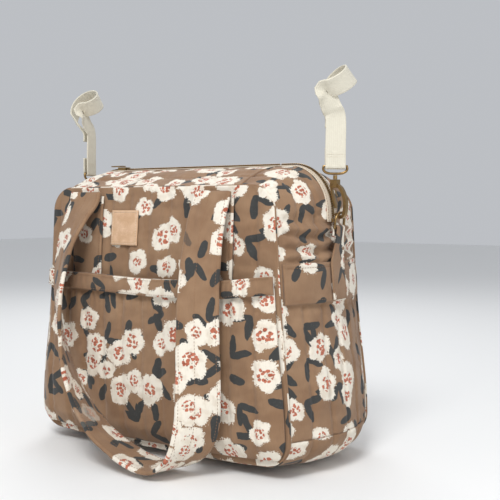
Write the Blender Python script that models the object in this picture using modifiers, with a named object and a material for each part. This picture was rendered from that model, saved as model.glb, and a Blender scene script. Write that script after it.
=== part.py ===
"""Quilted diaper bag with two carrying handles and two clip-on stroller straps.

Metres, +Z up, the front faces -Y. The origin is on the underside, at the middle of the base.
"""
import math

import bmesh
import bpy
from mathutils import Vector

# --- body of the bag ---
SEAM_HALF_WIDTH_BASE = 0.186     # half width of the front panel at its lower edge
SEAM_HALF_WIDTH_TOP = 0.167      # the same at its upper edge
HALF_DEPTH = 0.085               # from the middle to the front or back seam
PANEL_HEIGHT = 0.299             # front panel, lower seam to upper seam
BASE_CORNER_RADIUS = 0.026
TOP_CORNER_RADIUS = 0.030
SIDE_BULGE_BASE = 0.025          # how far the gusset stands out between its two seams
SIDE_BULGE_TOP = 0.019
TOP_BULGE = 0.024
BASE_BULGE = 0.012
PANEL_CROWN = 0.010              # how far the filled front panel stands out in its middle
QUILT_THICKNESS = 0.005
GAP = 0.0003                     # between pieces that touch
SEWN_GAP = 0.0004                # between panels that are sewn edge to edge

# --- lining and stiffener ---
LINING_THICKNESS = 0.001
LINING_CLEARANCE = 0.004
LINING_INSET = 0.008             # from the seam line to the lining, at each side
LINING_DROP = 0.006              # the lining stops this far below the top seam
BOARD_THICKNESS = 0.003
BOARD_HALF_DEPTH = 0.060
BOARD_END_GAP = 0.006
INNER_POCKET_HALF_WIDTH = 0.120
INNER_POCKET_LOW = 0.114
INNER_POCKET_HIGH = 0.234
INNER_POCKET_DEPTH = 0.012

# --- zip ---
FLAP_HALF_LENGTH = 0.120         # the part of the top that opens
ZIP_SIDE_END = 0.270             # height of the zip's lowest point on each side
TAPE_HALF_WIDTH = 0.0105
TAPE_THICKNESS = 0.001
TEETH_HALF_WIDTH = 0.0036
TEETH_HEIGHT = 0.0022
TEETH_GAP = 0.0005               # between the two rows of teeth
ZIP_STOP_LENGTH = 0.004
SLIDER_LENGTH = 0.013
SLIDER_REST = 0.1295             # the slider's distance from the middle, at each end of the zip
SLIDER_WALL = 0.0012
PULL_LENGTH = 0.022
PULL_WIDTH = 0.006
PULL_THICKNESS = 0.0014
PULL_CLEARANCE = 0.0006
FLAP_SPLIT = 0.0006              # half the slot between the two top strips

# --- front pocket and label ---
POCKET_LOW = 0.020
POCKET_TOP = 0.207
POCKET_GAP = 0.010
POCKET_THICKNESS = 0.0035
POCKET_EDGE_INSET = 0.004
POCKET_RISE = 0.022              # length over which the pocket leaves the panel
HEM_HEIGHT = 0.020
HEM_THICKNESS = 0.002
ELASTIC_HEIGHT = 0.008
ELASTIC_THICKNESS = 0.0012
LABEL_SIZE = 0.042
LABEL_THICKNESS = 0.0018
LABEL_CENTRE = (-0.041, 0.262)

# --- carrying handles ---
HANDLE_SPREAD = 0.098            # half the distance between a handle's two legs
HANDLE_SHIFT = -0.005            # the handles are sewn on a little left of the middle
HANDLE_WIDTH = 0.050
HANDLE_THICKNESS = 0.005
HANDLE_FOLD_HEIGHT = 0.3045
HANDLE_FOLD_STANDOFF = 0.0074    # from the panel's outer face to the handle's fold line
STRIP_THICKNESS = 0.0025
STRIP_LOW = 0.184
STRIP_TOP = 0.3000

# --- side bands, tabs and strap hardware ---
BAND_LOW = 0.180
BAND_HEIGHT = 0.045
BAND_THICKNESS = 0.002
HARDWARE_Y = 0.0                 # the hardware's place across each side
RING_STANDOFF = 0.0085           # from the gusset to the middle of the ring's bar
TAB_WIDTH = 0.030
TAB_LOOP_CLEARANCE = 0.0008      # between the tab's loop and the ring's sides
TAB_THICKNESS = 0.002
TAB_TAIL = 0.009                 # the end folded down behind the ring's bar
TAB_LOW = 0.182
WIRE_RADIUS = 0.0015
D_RING_HALF_WIDTH = 0.0120
D_RING_HEIGHT = 0.0175
D_RING_BAR_HEIGHT = 0.2630
D_RING_LEAN = 0.0025             # the ring's arc stands this far outside its bar
HOOK_WIDTH = 0.006
HOOK_THICKNESS = 0.0036
HOOK_BEND = 0.0052               # radius of the hook's bend under the ring
HEAD_WIDTH = 0.0086
HEAD_LENGTH = 0.0085
HEAD_HEIGHT = 0.0095
PIN_RADIUS = 0.0012
PIN_CLEARANCE = 0.0003
GATE_WIDTH = 0.0048
GATE_THICKNESS = 0.0018
SPRING_WIDTH = 0.003
SPRING_THICKNESS = 0.0004
STUD_RADIUS = 0.0024
STUD_HEIGHT = 0.0045
STRAP_RING_HALF_WIDTH = 0.0152
STRAP_RING_HEIGHT = 0.0115
RING_SIDE = 0.72                 # share of the ring's height where its sides start to turn in
STRAP_WIDTH = 0.0235
STRAP_THICKNESS = 0.0018
STRAP_LENGTH = 0.054             # from the ring to the knot round the push bar
STRAP_TAIL = 0.021               # the end that is folded back behind the ring and sewn
PUSH_BAR_RADIUS = 0.0205
KNOT_RISE = 0.018                # from the strap's neck to the lowest point of the loop
KNOT_SETBACK = 0.006
WRAP_START = -72.0
WRAP_END = 205.0
WRAP_SHIFT = 0.028               # the loop's two ends lie this far apart along the push bar
STRAP_YAW = {"right": 36.0, "left": 105.0}
PUSH_BAR_DIRECTION = (0.20, 0.70, -0.65)


# --- scene helpers ---

def clear_scene():
    for item in list(bpy.data.objects):
        bpy.data.objects.remove(item)


def new_collection(name):
    group = bpy.data.collections.new(name)
    bpy.context.scene.collection.children.link(group)
    return group


def make_material(name, colour, roughness, metallic=0.0):
    finish = bpy.data.materials.new(name)
    finish.use_nodes = True
    shader = finish.node_tree.nodes["Principled BSDF"]
    shader.inputs["Base Color"].default_value = (*colour, 1.0)
    shader.inputs["Roughness"].default_value = roughness
    shader.inputs["Metallic"].default_value = metallic
    return finish


clear_scene()
PARTS = new_collection("diaper_bag")
CUTTERS = new_collection("cutters")
LOOKS = {
    "print": ((0.31, 0.19, 0.11), 0.85, 0.0),
    "lining": ((0.70, 0.66, 0.58), 0.85, 0.0),
    "board": ((0.10, 0.10, 0.10), 0.60, 0.0),
    "tape": ((0.70, 0.62, 0.50), 0.80, 0.0),
    "brass": ((0.36, 0.24, 0.10), 0.35, 1.0),
    "leather": ((0.68, 0.44, 0.26), 0.55, 0.0),
    "webbing": ((0.80, 0.76, 0.66), 0.80, 0.0),
    "elastic": ((0.80, 0.80, 0.78), 0.70, 0.0),
}


def add_node(name, mesh, look, collection=None):
    """One object with a material of its own."""
    piece = bpy.data.objects.new(name, mesh)
    (collection or PARTS).objects.link(piece)
    mesh.materials.append(make_material(name, *LOOKS[look]))
    return piece


def mesh_from(bm, name):
    bmesh.ops.recalc_face_normals(bm, faces=bm.faces)
    mesh = bpy.data.meshes.new(name)
    bm.to_mesh(mesh)
    bm.free()
    return mesh


def sheet(name, rows, thickness, look):
    """A strip through rows of points, given its thickness on both sides."""
    mesh = bpy.data.meshes.new(name)
    columns = len(rows[0])
    points = [point for row in rows for point in row]
    faces = []
    for r in range(len(rows) - 1):
        for c in range(columns - 1):
            low = r * columns + c
            faces.append((low, low + 1, low + columns + 1, low + columns))
    mesh.from_pydata(points, [], faces)
    piece = add_node(name, mesh, look)
    walls = piece.modifiers.new("thickness", "SOLIDIFY")
    walls.thickness = thickness
    walls.offset = 0.0
    return piece


def shell(name, inner, outer, look):
    """A closed panel between two like grids of points, the outer one facing out."""
    columns = len(outer[0])
    count = columns * len(outer)
    points = [point for row in [*outer, *inner] for point in row]
    faces = []
    for r in range(len(outer) - 1):
        for c in range(columns - 1):
            low = r * columns + c
            quad = (low, low + 1, low + columns + 1, low + columns)
            faces.append(quad)
            faces.append(tuple(count + corner for corner in reversed(quad)))
    rim = list(range(columns))
    rim += [r * columns + columns - 1 for r in range(1, len(outer))]
    rim += [count - 1 - c for c in range(1, columns)]
    rim += [r * columns for r in range(len(outer) - 2, 0, -1)]
    for here, there in zip(rim, [*rim[1:], rim[0]]):
        faces.append((there, here, count + here, count + there))
    mesh = bpy.data.meshes.new(name)
    mesh.from_pydata(points, [], faces)
    return add_node(name, mesh, look)


def ribbon(name, stations, widths, thickness, look):
    """A flat strap along stations of (centre, width direction), of one width or one for each station."""
    if not isinstance(widths, list):
        widths = [widths] * len(stations)
    rows = []
    for (centre, across), width in zip(stations, widths):
        half = Vector(across).normalized() * (width / 2)
        rows.append([Vector(centre) - half, Vector(centre) + half])
    return sheet(name, rows, thickness, look)


def smooth_path(points, steps):
    """Points of a Catmull-Rom curve through the given ones."""
    points = [Vector(point) for point in points]
    padded = [2 * points[0] - points[1], *points, 2 * points[-1] - points[-2]]
    path = []
    for i in range(1, len(padded) - 2):
        a, b, c, d = padded[i - 1:i + 3]
        for step in range(steps):
            t = step / steps
            path.append(0.5 * (2 * b + (c - a) * t + (2 * a - 5 * b + 4 * c - d) * t ** 2
                               + (3 * b - a - 3 * c + d) * t ** 3))
    path.append(points[-1])
    return path


def wire(name, points, radius, look):
    """A closed wire ring."""
    curve = bpy.data.curves.new(name, "CURVE")
    curve.dimensions = "3D"
    curve.bevel_depth = radius
    curve.bevel_resolution = 2
    spline = curve.splines.new("POLY")
    spline.points.add(len(points) - 1)
    for target, point in zip(spline.points, points):
        target.co = (*point, 1.0)
    spline.use_cyclic_u = True
    return add_node(name, curve, look)


def bar(name, centre, axis, radius, length, look, collection=None):
    """A round bar along the given axis."""
    bm = bmesh.new()
    bmesh.ops.create_cone(bm, cap_ends=True, segments=20, radius1=radius, radius2=radius, depth=length)
    turn = Vector((0, 0, 1)).rotation_difference(Vector(axis)).to_matrix()
    bmesh.ops.rotate(bm, verts=bm.verts, cent=(0, 0, 0), matrix=turn)
    bmesh.ops.translate(bm, verts=bm.verts, vec=centre)
    return add_node(name, mesh_from(bm, name), look, collection)


def block(name, centre, size, look, collection=None):
    bm = bmesh.new()
    bmesh.ops.create_cube(bm, size=1.0)
    bmesh.ops.scale(bm, verts=bm.verts, vec=size)
    bmesh.ops.translate(bm, verts=bm.verts, vec=centre)
    return add_node(name, mesh_from(bm, name), look, collection)


def hide_cutter(piece):
    piece.hide_render = True
    piece.display_type = "WIRE"


def boolean(piece, operation, cutter):
    hide_cutter(cutter)
    cut = piece.modifiers.new(operation.lower(), "BOOLEAN")
    cut.operation = operation
    cut.object = cutter


def place_origin(piece, point):
    """Moves a piece's origin to a point on its joint's axis, leaving its shape where it is."""
    offset = Vector(point)
    if piece.type == "CURVE":
        for spline in piece.data.splines:
            for knot in spline.points:
                knot.co = (*(Vector(knot.co[:3]) - offset), 1.0)
    else:
        for vertex in piece.data.vertices:
            vertex.co -= offset
    piece.location = offset


def linspace(start, stop, steps):
    return [start + (stop - start) * i / steps for i in range(steps + 1)]


# --- the bag's form ---
CROSS_STEPS = 9                  # odd, so that the middle strip of the base is flat
BASE_SEAM = BASE_BULGE * (1 - 1 / CROSS_STEPS ** 2)
TOP_SEAM = BASE_SEAM + PANEL_HEIGHT
TOP_CORNER_LEVEL = TOP_SEAM - TOP_CORNER_RADIUS
BASE_CORNER_LEVEL = BASE_SEAM + BASE_CORNER_RADIUS


def seam_half_width(z):
    share = (z - BASE_SEAM) / PANEL_HEIGHT
    return SEAM_HALF_WIDTH_BASE + (SEAM_HALF_WIDTH_TOP - SEAM_HALF_WIDTH_BASE) * share


TOP_CORNER_X = seam_half_width(TOP_CORNER_LEVEL) - TOP_CORNER_RADIUS
BASE_CORNER_X = seam_half_width(BASE_CORNER_LEVEL) - BASE_CORNER_RADIUS


def panel_half_width(z):
    """Half width of the front panel at a height, with its rounded corners."""
    if z > TOP_CORNER_LEVEL:
        rise = min(z - TOP_CORNER_LEVEL, TOP_CORNER_RADIUS)
        return TOP_CORNER_X + math.sqrt(TOP_CORNER_RADIUS ** 2 - rise ** 2)
    if z < BASE_CORNER_LEVEL:
        drop = min(BASE_CORNER_LEVEL - z, BASE_CORNER_RADIUS)
        return BASE_CORNER_X + math.sqrt(BASE_CORNER_RADIUS ** 2 - drop ** 2)
    return seam_half_width(z)


def side_bulge(z):
    share = min(1.0, max(0.0, (z - BASE_SEAM) / PANEL_HEIGHT))
    return SIDE_BULGE_BASE + (SIDE_BULGE_TOP - SIDE_BULGE_BASE) * share


def gusset_point(station, y, lift=0.0):
    """A point on the gusset's outer face, above a station of the seam line."""
    x, z, normal_x, normal_z = station
    upright = TOP_BULGE if normal_z > 0 else BASE_BULGE
    bulge = side_bulge(z) * normal_x ** 2 + upright * normal_z ** 2
    off = bulge * (1 - (y / HALF_DEPTH) ** 2) + lift
    return Vector((x + normal_x * off, y, z + normal_z * off))


def arc_stations(centre_x, centre_z, radius, start, stop, steps):
    stations = []
    for angle in linspace(math.radians(start), math.radians(stop), steps):
        normal = (math.cos(angle), math.sin(angle))
        stations.append((centre_x + radius * normal[0], centre_z + radius * normal[1], *normal))
    return stations


def side_stations(low, high, steps):
    return [(seam_half_width(z), z, 1.0, 0.0) for z in linspace(low, high, steps)]


def shoulder_stations(end_x):
    """Round the right top corner and along the top to end_x."""
    arc = arc_stations(TOP_CORNER_X, TOP_CORNER_LEVEL, TOP_CORNER_RADIUS, 0, 90, 8)
    return arc + [(end_x, TOP_SEAM, 0.0, 1.0)]


def top_stations(half_length, steps=6):
    return [(x, TOP_SEAM, 0.0, 1.0) for x in linspace(half_length, -half_length, steps)]


def mirrored(rows):
    """The same piece on the left: mirrored in X, with each row turned round to keep its outside outside."""
    return [[Vector((-p[0], p[1], p[2])) for p in reversed(row)] for row in rows]


def on_back(rows):
    return [[Vector((p[0], -p[1], p[2])) for p in reversed(row)] for row in rows]


def gusset_rows(stations, y_values, lift=0.0):
    return [[gusset_point(station, y, lift) for y in y_values] for station in stations]


def gusset_levels():
    return [HALF_DEPTH * share for share in linspace(-1, 1, CROSS_STEPS)]


def crown(x, z):
    across = 1 - min(1.0, abs(x) / panel_half_width(z)) ** 2.5
    share = (z - BASE_SEAM) / PANEL_HEIGHT
    upright = math.sin(math.pi * min(1.0, max(0.0, share)) ** 0.85)
    return PANEL_CROWN * across * max(0.0, upright) ** 0.7


def panel_face(x, z, lift=0.0):
    """A point on the front panel's outer face."""
    return Vector((x, -(HALF_DEPTH + GAP + QUILT_THICKNESS + crown(x, z) + lift), z))


def panel_rows(levels, half_width_at, lift, columns=12):
    rows = []
    for z in levels:
        half = half_width_at(z)
        rows.append([panel_face(x, z, lift) for x in linspace(-half, half, columns)])
    return rows


def panel_levels(low=BASE_SEAM, high=TOP_SEAM):
    levels = [BASE_CORNER_LEVEL - BASE_CORNER_RADIUS * math.cos(angle)
              for angle in linspace(0, math.pi / 2, 4)]
    levels += linspace(BASE_CORNER_LEVEL, TOP_CORNER_LEVEL, 8)[1:]
    levels += [TOP_CORNER_LEVEL + TOP_CORNER_RADIUS * math.sin(angle)
               for angle in linspace(0, math.pi / 2, 4)][1:]
    return [z for z in levels if low <= z <= high]


# --- body panels ---

def build_panels():
    inner = panel_rows(panel_levels(), panel_half_width, -QUILT_THICKNESS)
    outer = panel_rows(panel_levels(), panel_half_width, 0.0)
    shell("front_panel", inner, outer, "print")
    shell("back_panel", on_back(inner), on_back(outer), "print")


def build_gussets():
    levels = gusset_levels()
    side = side_stations(BASE_CORNER_LEVEL + SEWN_GAP, TOP_CORNER_LEVEL, 7)[:-1]
    side += shoulder_stations(FLAP_HALF_LENGTH + SEWN_GAP)
    inner = gusset_rows(side, levels, -QUILT_THICKNESS)
    outer = gusset_rows(side, levels)
    shell("right_gusset", inner, outer, "print")
    shell("left_gusset", mirrored(inner), mirrored(outer), "print")
    right = arc_stations(BASE_CORNER_X, BASE_CORNER_LEVEL, BASE_CORNER_RADIUS, 270, 360, 5)
    left = [(-x, z, -nx, nz) for x, z, nx, nz in reversed(right)]
    middle = [(x, BASE_SEAM, 0.0, -1.0) for x in linspace(-BASE_CORNER_X, BASE_CORNER_X, 6)[1:-1]]
    around = left + middle + right
    shell("base_gusset", gusset_rows(around, levels, -QUILT_THICKNESS), gusset_rows(around, levels), "print")


def lining_ring(z, inset):
    """A closed loop of the lining in plan, at a height."""
    half_width = panel_half_width(z) - inset
    half_depth = HALF_DEPTH - LINING_CLEARANCE
    radius = 0.025
    loop = []
    for centre_x, centre_y, start in (
        (half_width - radius, half_depth - radius, 0),
        (radius - half_width, half_depth - radius, 90),
        (radius - half_width, radius - half_depth, 180),
        (half_width - radius, radius - half_depth, 270),
    ):
        for angle in linspace(math.radians(start), math.radians(start + 90), 4):
            loop.append(Vector((centre_x + radius * math.cos(angle), centre_y + radius * math.sin(angle), z)))
    return loop


BOARD_LOW = QUILT_THICKNESS + GAP + BASE_BULGE * (BOARD_HALF_DEPTH / HALF_DEPTH) ** 2
LINING_FLOOR = max(BOARD_LOW + BOARD_THICKNESS, BASE_BULGE + QUILT_THICKNESS) + GAP


def build_lining():
    bm = bmesh.new()
    top = TOP_SEAM - LINING_DROP
    rings = []
    for z in (LINING_FLOOR, BASE_CORNER_LEVEL, 0.12, 0.20, TOP_CORNER_LEVEL, top):
        rings.append([bm.verts.new(point) for point in lining_ring(z, LINING_INSET)])
    for low, high in zip(rings, rings[1:]):
        for i in range(len(low)):
            j = (i + 1) % len(low)
            bm.faces.new((low[i], low[j], high[j], high[i]))
    bm.faces.new(list(reversed(rings[0])))
    piece = add_node("lining", mesh_from(bm, "lining"), "lining")
    shell = piece.modifiers.new("thickness", "SOLIDIFY")
    shell.thickness = LINING_THICKNESS
    shell.offset = -1.0


def build_board():
    length = 2 * (BASE_CORNER_X - BOARD_END_GAP)
    piece = block("base_board", (0, 0, BOARD_LOW + BOARD_THICKNESS / 2),
                  (length, 2 * BOARD_HALF_DEPTH, BOARD_THICKNESS), "board")
    edge = piece.modifiers.new("edge", "BEVEL")
    edge.width = 0.0008
    edge.segments = 1


def build_inner_pocket():
    """An open pocket on the lining's back wall."""
    wall = HALF_DEPTH - LINING_CLEARANCE - 1.5 * LINING_THICKNESS - 2 * GAP
    rows = []
    for z in linspace(INNER_POCKET_LOW, INNER_POCKET_HIGH, 6):
        rise = min(1.0, (z - INNER_POCKET_LOW) / 0.03)
        row = []
        for x in linspace(-INNER_POCKET_HALF_WIDTH, INNER_POCKET_HALF_WIDTH, 10):
            edge = min(1.0, (INNER_POCKET_HALF_WIDTH - abs(x)) / 0.025)
            depth = INNER_POCKET_DEPTH * math.sin(math.pi / 2 * rise) * math.sin(math.pi / 2 * edge)
            row.append(Vector((x, wall - depth, z)))
        rows.append(row)
    sheet("inner_pocket", rows, LINING_THICKNESS, "lining")


# --- front pocket, label and handle strips ---

def pocket_lift(x, z):
    half = panel_half_width(z) - POCKET_EDGE_INSET
    edge = min(1.0, max(0.0, half - abs(x)) / POCKET_RISE)
    rise = min(1.0, max(0.0, z - POCKET_LOW) / POCKET_RISE)
    return GAP + POCKET_GAP * math.sin(math.pi / 2 * edge) * math.sin(math.pi / 2 * rise)


def pocket_rows(levels, lift):
    rows = []
    for z in levels:
        half = panel_half_width(z) - POCKET_EDGE_INSET
        spread = [math.sin(math.pi / 2 * share) for share in linspace(-1, 1, 16)]
        rows.append([panel_face(half * s, z, pocket_lift(half * s, z) + lift) for s in spread])
    return rows


def build_pocket():
    levels = [POCKET_LOW, 0.022, 0.028, 0.036, 0.050] + linspace(0.075, POCKET_TOP, 5)
    band = linspace(POCKET_TOP - HEM_HEIGHT / 2 - ELASTIC_HEIGHT / 2,
                    POCKET_TOP - HEM_HEIGHT / 2 + ELASTIC_HEIGHT / 2, 1)
    hem = linspace(POCKET_TOP - HEM_HEIGHT, POCKET_TOP, 2)
    elastic_lift = POCKET_THICKNESS + GAP
    hem_lift = elastic_lift + ELASTIC_THICKNESS + 2 * GAP
    for name, heights, lift, thickness, look in (
        ("front_pocket", levels, 0.0, POCKET_THICKNESS, "print"),
        ("pocket_elastic", band, elastic_lift, ELASTIC_THICKNESS, "elastic"),
        ("pocket_hem", hem, hem_lift, HEM_THICKNESS, "print"),
    ):
        shell(name, pocket_rows(heights, lift), pocket_rows(heights, lift + thickness), look)


def patch(left, right, low, high, thickness, steps):
    """Inner and outer rows of a flat piece sewn on the front panel."""
    layers = []
    for lift in (GAP, GAP + thickness):
        layers.append([[panel_face(x, z, lift) for x in linspace(left, right, 4)]
                       for z in linspace(low, high, steps)])
    return layers


def build_label():
    centre_x, centre_z = LABEL_CENTRE
    half = LABEL_SIZE / 2
    sides = (centre_x - half, centre_x + half, centre_z - half, centre_z + half)
    inner, outer = patch(*sides, LABEL_THICKNESS, 4)
    shell("leather_label", inner, outer, "leather")


def build_strips():
    for name, centre in (("left", HANDLE_SHIFT - HANDLE_SPREAD), ("right", HANDLE_SHIFT + HANDLE_SPREAD)):
        half = HANDLE_WIDTH / 2
        inner, outer = patch(centre - half, centre + half, STRIP_LOW, STRIP_TOP, STRIP_THICKNESS, 6)
        shell("front_" + name + "_handle_strip", inner, outer, "print")
        shell("back_" + name + "_handle_strip", on_back(inner), on_back(outer), "print")


# --- carrying handles ---
FOLD_Y = -(HALF_DEPTH + GAP + QUILT_THICKNESS + HANDLE_FOLD_STANDOFF)


def handle_stations():
    """Centre line and width direction, from the right leg's fold down, round and up to the left one.

    Each entry is x, distance in front of the fold, height below the fold, and the turn of the width.
    """
    right = HANDLE_SHIFT + HANDLE_SPREAD
    left = HANDLE_SHIFT - HANDLE_SPREAD
    hang = [
        (right, 0.000, 0.000, 0),
        (right - 0.001, 0.015, 0.043, 4),
        (right + 0.002, 0.029, 0.097, 12),
        (right + 0.007, 0.038, 0.161, 20),
        (right + 0.011, 0.043, 0.214, 30),
        (right + 0.011, 0.045, 0.251, 42),
        (right + 0.003, 0.047, 0.279, 58),
        (right - 0.014, 0.048, 0.298, 72),
        (right - 0.041, 0.049, 0.3075, 84),
        (right - 0.085, 0.049, 0.299, 96),
        (right - 0.134, 0.049, 0.274, 108),
        (left + 0.023, 0.047, 0.2285, 120),
        (left + 0.001, 0.043, 0.183, 131),
        (left - 0.012, 0.037, 0.130, 142),
        (left - 0.015, 0.024, 0.070, 155),
        (left - 0.006, 0.012, 0.030, 168),
        (left - 0.0003, 0.0045, 0.012, 178),
        (left, 0.000, 0.000, 180),
    ]
    places = [(x, FOLD_Y - front, HANDLE_FOLD_HEIGHT - down) for x, front, down, turn in hang]
    centres = smooth_path(places, 3)
    turns = smooth_path([(turn, 0.0, 0.0) for x, front, down, turn in hang], 3)
    stations = []
    for i, centre in enumerate(centres):
        ahead = centres[min(i + 1, len(centres) - 1)]
        behind = centres[max(i - 1, 0)]
        along = (ahead - behind).normalized()
        turn = math.radians(turns[i].x)
        across = Vector((math.cos(turn), math.sin(turn), 0.0))
        across -= along * across.dot(along)
        stations.append((centre, across))
    return stations


def build_handles():
    stations = handle_stations()
    front = ribbon("front_handle", stations, HANDLE_WIDTH, HANDLE_THICKNESS, "print")
    place_origin(front, (0, FOLD_Y, HANDLE_FOLD_HEIGHT))
    behind = [(Vector((c.x, -c.y, c.z)), Vector((a.x, -a.y, a.z))) for c, a in stations]
    back = ribbon("back_handle", behind, HANDLE_WIDTH, HANDLE_THICKNESS, "print")
    place_origin(back, (0, -FOLD_Y, HANDLE_FOLD_HEIGHT))


# --- zip ---
TAPE_LIFT = GAP
TEETH_LIFT = TAPE_LIFT + TAPE_THICKNESS + GAP
RIDGE = TOP_SEAM + TOP_BULGE
TEETH_TOP = RIDGE + TEETH_LIFT + TEETH_HEIGHT


def build_flaps():
    stations = top_stations(FLAP_HALF_LENGTH)
    fabric = linspace(-HALF_DEPTH, -FLAP_SPLIT, 6)
    tape = linspace(-TAPE_HALF_WIDTH, -FLAP_SPLIT, 1)
    teeth = linspace(-TEETH_HALF_WIDTH, -TEETH_GAP / 2, 1)
    hinge = (0, -HALF_DEPTH, TOP_SEAM)
    for side, turn in (("front", None), ("back", on_back)):
        for name, span, low, high, look in (
            ("flap", fabric, -QUILT_THICKNESS, 0.0, "print"),
            ("zip_tape", tape, TAPE_LIFT, TAPE_LIFT + TAPE_THICKNESS, "tape"),
            ("zip_teeth", teeth, TEETH_LIFT, TEETH_LIFT + TEETH_HEIGHT, "brass"),
        ):
            layers = [gusset_rows(stations, span, lift) for lift in (low, high)]
            if turn:
                layers = [turn(rows) for rows in layers]
            piece = shell(side + "_" + name, *layers, look)
            place_origin(piece, hinge if side == "front" else (0, HALF_DEPTH, TOP_SEAM))


def zip_end_stations(low):
    return side_stations(low, TOP_CORNER_LEVEL, 1)[:-1] + shoulder_stations(FLAP_HALF_LENGTH + SEWN_GAP)


def build_zip_ends():
    low_teeth = ZIP_SIDE_END + ZIP_STOP_LENGTH + GAP
    wide = linspace(-TAPE_HALF_WIDTH, TAPE_HALF_WIDTH, 2)
    narrow = linspace(-TEETH_HALF_WIDTH, TEETH_HALF_WIDTH, 1)
    stop_stations = side_stations(ZIP_SIDE_END, ZIP_SIDE_END + ZIP_STOP_LENGTH, 1)
    for side, turn in (("right", None), ("left", mirrored)):
        for name, stations, span, low, thickness, look in (
            ("zip_tape", zip_end_stations(ZIP_SIDE_END), wide, TAPE_LIFT, TAPE_THICKNESS, "tape"),
            ("zip_teeth", zip_end_stations(low_teeth), narrow, TEETH_LIFT, TEETH_HEIGHT, "brass"),
            ("zip_stop", stop_stations, narrow, TEETH_LIFT, TEETH_HEIGHT, "brass"),
        ):
            layers = [gusset_rows(stations, span, lift) for lift in (low, low + thickness)]
            if turn:
                layers = [turn(rows) for rows in layers]
            shell(side + "_" + name, *layers, look)


def build_slider():
    floor = RIDGE + TAPE_LIFT + TAPE_THICKNESS + GAP
    inside = TEETH_HALF_WIDTH + GAP
    top = TEETH_TOP + GAP + SLIDER_WALL
    width = 2 * (inside + SLIDER_WALL)
    centre = (-SLIDER_REST, 0, (floor + top) / 2)
    body = block("zip_slider", centre, (SLIDER_LENGTH, width, top - floor), "brass")
    channel = block("slider_channel", (-SLIDER_REST, 0, (floor + TEETH_TOP + GAP) / 2 - 0.002),
                    (SLIDER_LENGTH * 2, 2 * inside, TEETH_TOP + GAP - floor + 0.004), "brass", CUTTERS)
    boolean(body, "DIFFERENCE", channel)
    pivot_z = top + GAP + PULL_THICKNESS / 2 + PULL_CLEARANCE
    pull = block("zip_pull", (-SLIDER_REST - PULL_LENGTH / 2 + PULL_THICKNESS / 2, 0, pivot_z),
                 (PULL_LENGTH, PULL_WIDTH, PULL_THICKNESS), "brass")
    edge = pull.modifiers.new("edge", "BEVEL")
    edge.width = 0.0005
    edge.segments = 1
    place_origin(pull, (-SLIDER_REST, 0, pivot_z))


# --- side bands, tabs and rings ---

def side_face(z):
    """How far out the gusset's outer face is at a height, at the hardware."""
    return seam_half_width(z) + side_bulge(z) * (1 - (HARDWARE_Y / HALF_DEPTH) ** 2)


def build_bands():
    levels = [y * 0.97 for y in gusset_levels()]
    stations = side_stations(BAND_LOW, BAND_LOW + BAND_HEIGHT, 2)
    inner = gusset_rows(stations, levels, GAP)
    outer = gusset_rows(stations, levels, GAP + BAND_THICKNESS)
    shell("right_side_band", inner, outer, "print")
    shell("left_side_band", mirrored(inner), mirrored(outer), "print")


TAB_LOOP_RADIUS = WIRE_RADIUS + GAP + TAB_THICKNESS / 2
BAR_X = side_face(D_RING_BAR_HEIGHT) + RING_STANDOFF


def tab_centre_line():
    """In the XZ plane, from the band up, over the ring's bar and down behind it."""
    on_band = BAND_THICKNESS + 3 * GAP + TAB_THICKNESS / 2
    band_top = BAND_LOW + BAND_HEIGHT
    line = [(seam_half_width(z) + side_bulge(z) + on_band, z) for z in (TAB_LOW, band_top)]
    for angle in linspace(0, math.pi, 8):
        line.append((BAR_X + TAB_LOOP_RADIUS * math.cos(angle),
                     D_RING_BAR_HEIGHT + TAB_LOOP_RADIUS * math.sin(angle)))
    line.append((BAR_X - TAB_LOOP_RADIUS, D_RING_BAR_HEIGHT - TAB_TAIL))
    return line


def build_ring_tab(side, sign):
    line = tab_centre_line()
    stations = [(Vector((sign * x, HARDWARE_Y, z)), (0, 1, 0)) for x, z in line]
    loop_width = 2 * (D_RING_HALF_WIDTH - 2 * WIRE_RADIUS - TAB_LOOP_CLEARANCE)
    widths = [TAB_WIDTH, TAB_WIDTH] + [loop_width] * (len(line) - 2)
    ribbon(side + "_ring_tab", stations, widths, TAB_THICKNESS, "print")


def build_d_ring(side, sign):
    half = D_RING_HALF_WIDTH - WIRE_RADIUS
    straight = D_RING_HEIGHT - half
    points = [(-half, 0.0), (0.0, 0.0), (half, 0.0)]
    for angle in linspace(0, math.pi, 10):
        points.append((half * math.cos(angle), straight + half * math.sin(angle)))
    ring = []
    for y, rise in points:
        lean = D_RING_LEAN * rise / D_RING_HEIGHT
        ring.append((sign * (BAR_X + lean), HARDWARE_Y + y, D_RING_BAR_HEIGHT + rise))
    piece = wire(side + "_d_ring", ring, WIRE_RADIUS, "brass")
    place_origin(piece, (sign * BAR_X, HARDWARE_Y, D_RING_BAR_HEIGHT))


# --- snap hook ---
HOOK_X = BAR_X + D_RING_LEAN
HOOK_Z = D_RING_BAR_HEIGHT + D_RING_HEIGHT
PIN_X = HOOK_X - 0.0100
PIN_Z = HOOK_Z + 0.0320
HEAD_X = HOOK_X - 0.0075
HEAD_Z = PIN_Z + 0.0010


def hook_line():
    """The hook's spine, from its head down the outer side and round under the ring."""
    spine = [(0.0004, 0.0275), (0.0042, 0.020), (0.0060, 0.012), (0.0058, 0.003)]
    line = [(HEAD_X + 0.0024, HEAD_Z - 0.001)] + [(HOOK_X + out, HOOK_Z + up) for out, up in spine]
    for angle in linspace(math.radians(-20), math.radians(-175), 7):
        line.append((HOOK_X + HOOK_BEND * math.cos(angle), HOOK_Z + HOOK_BEND * math.sin(angle)))
    return line


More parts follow.
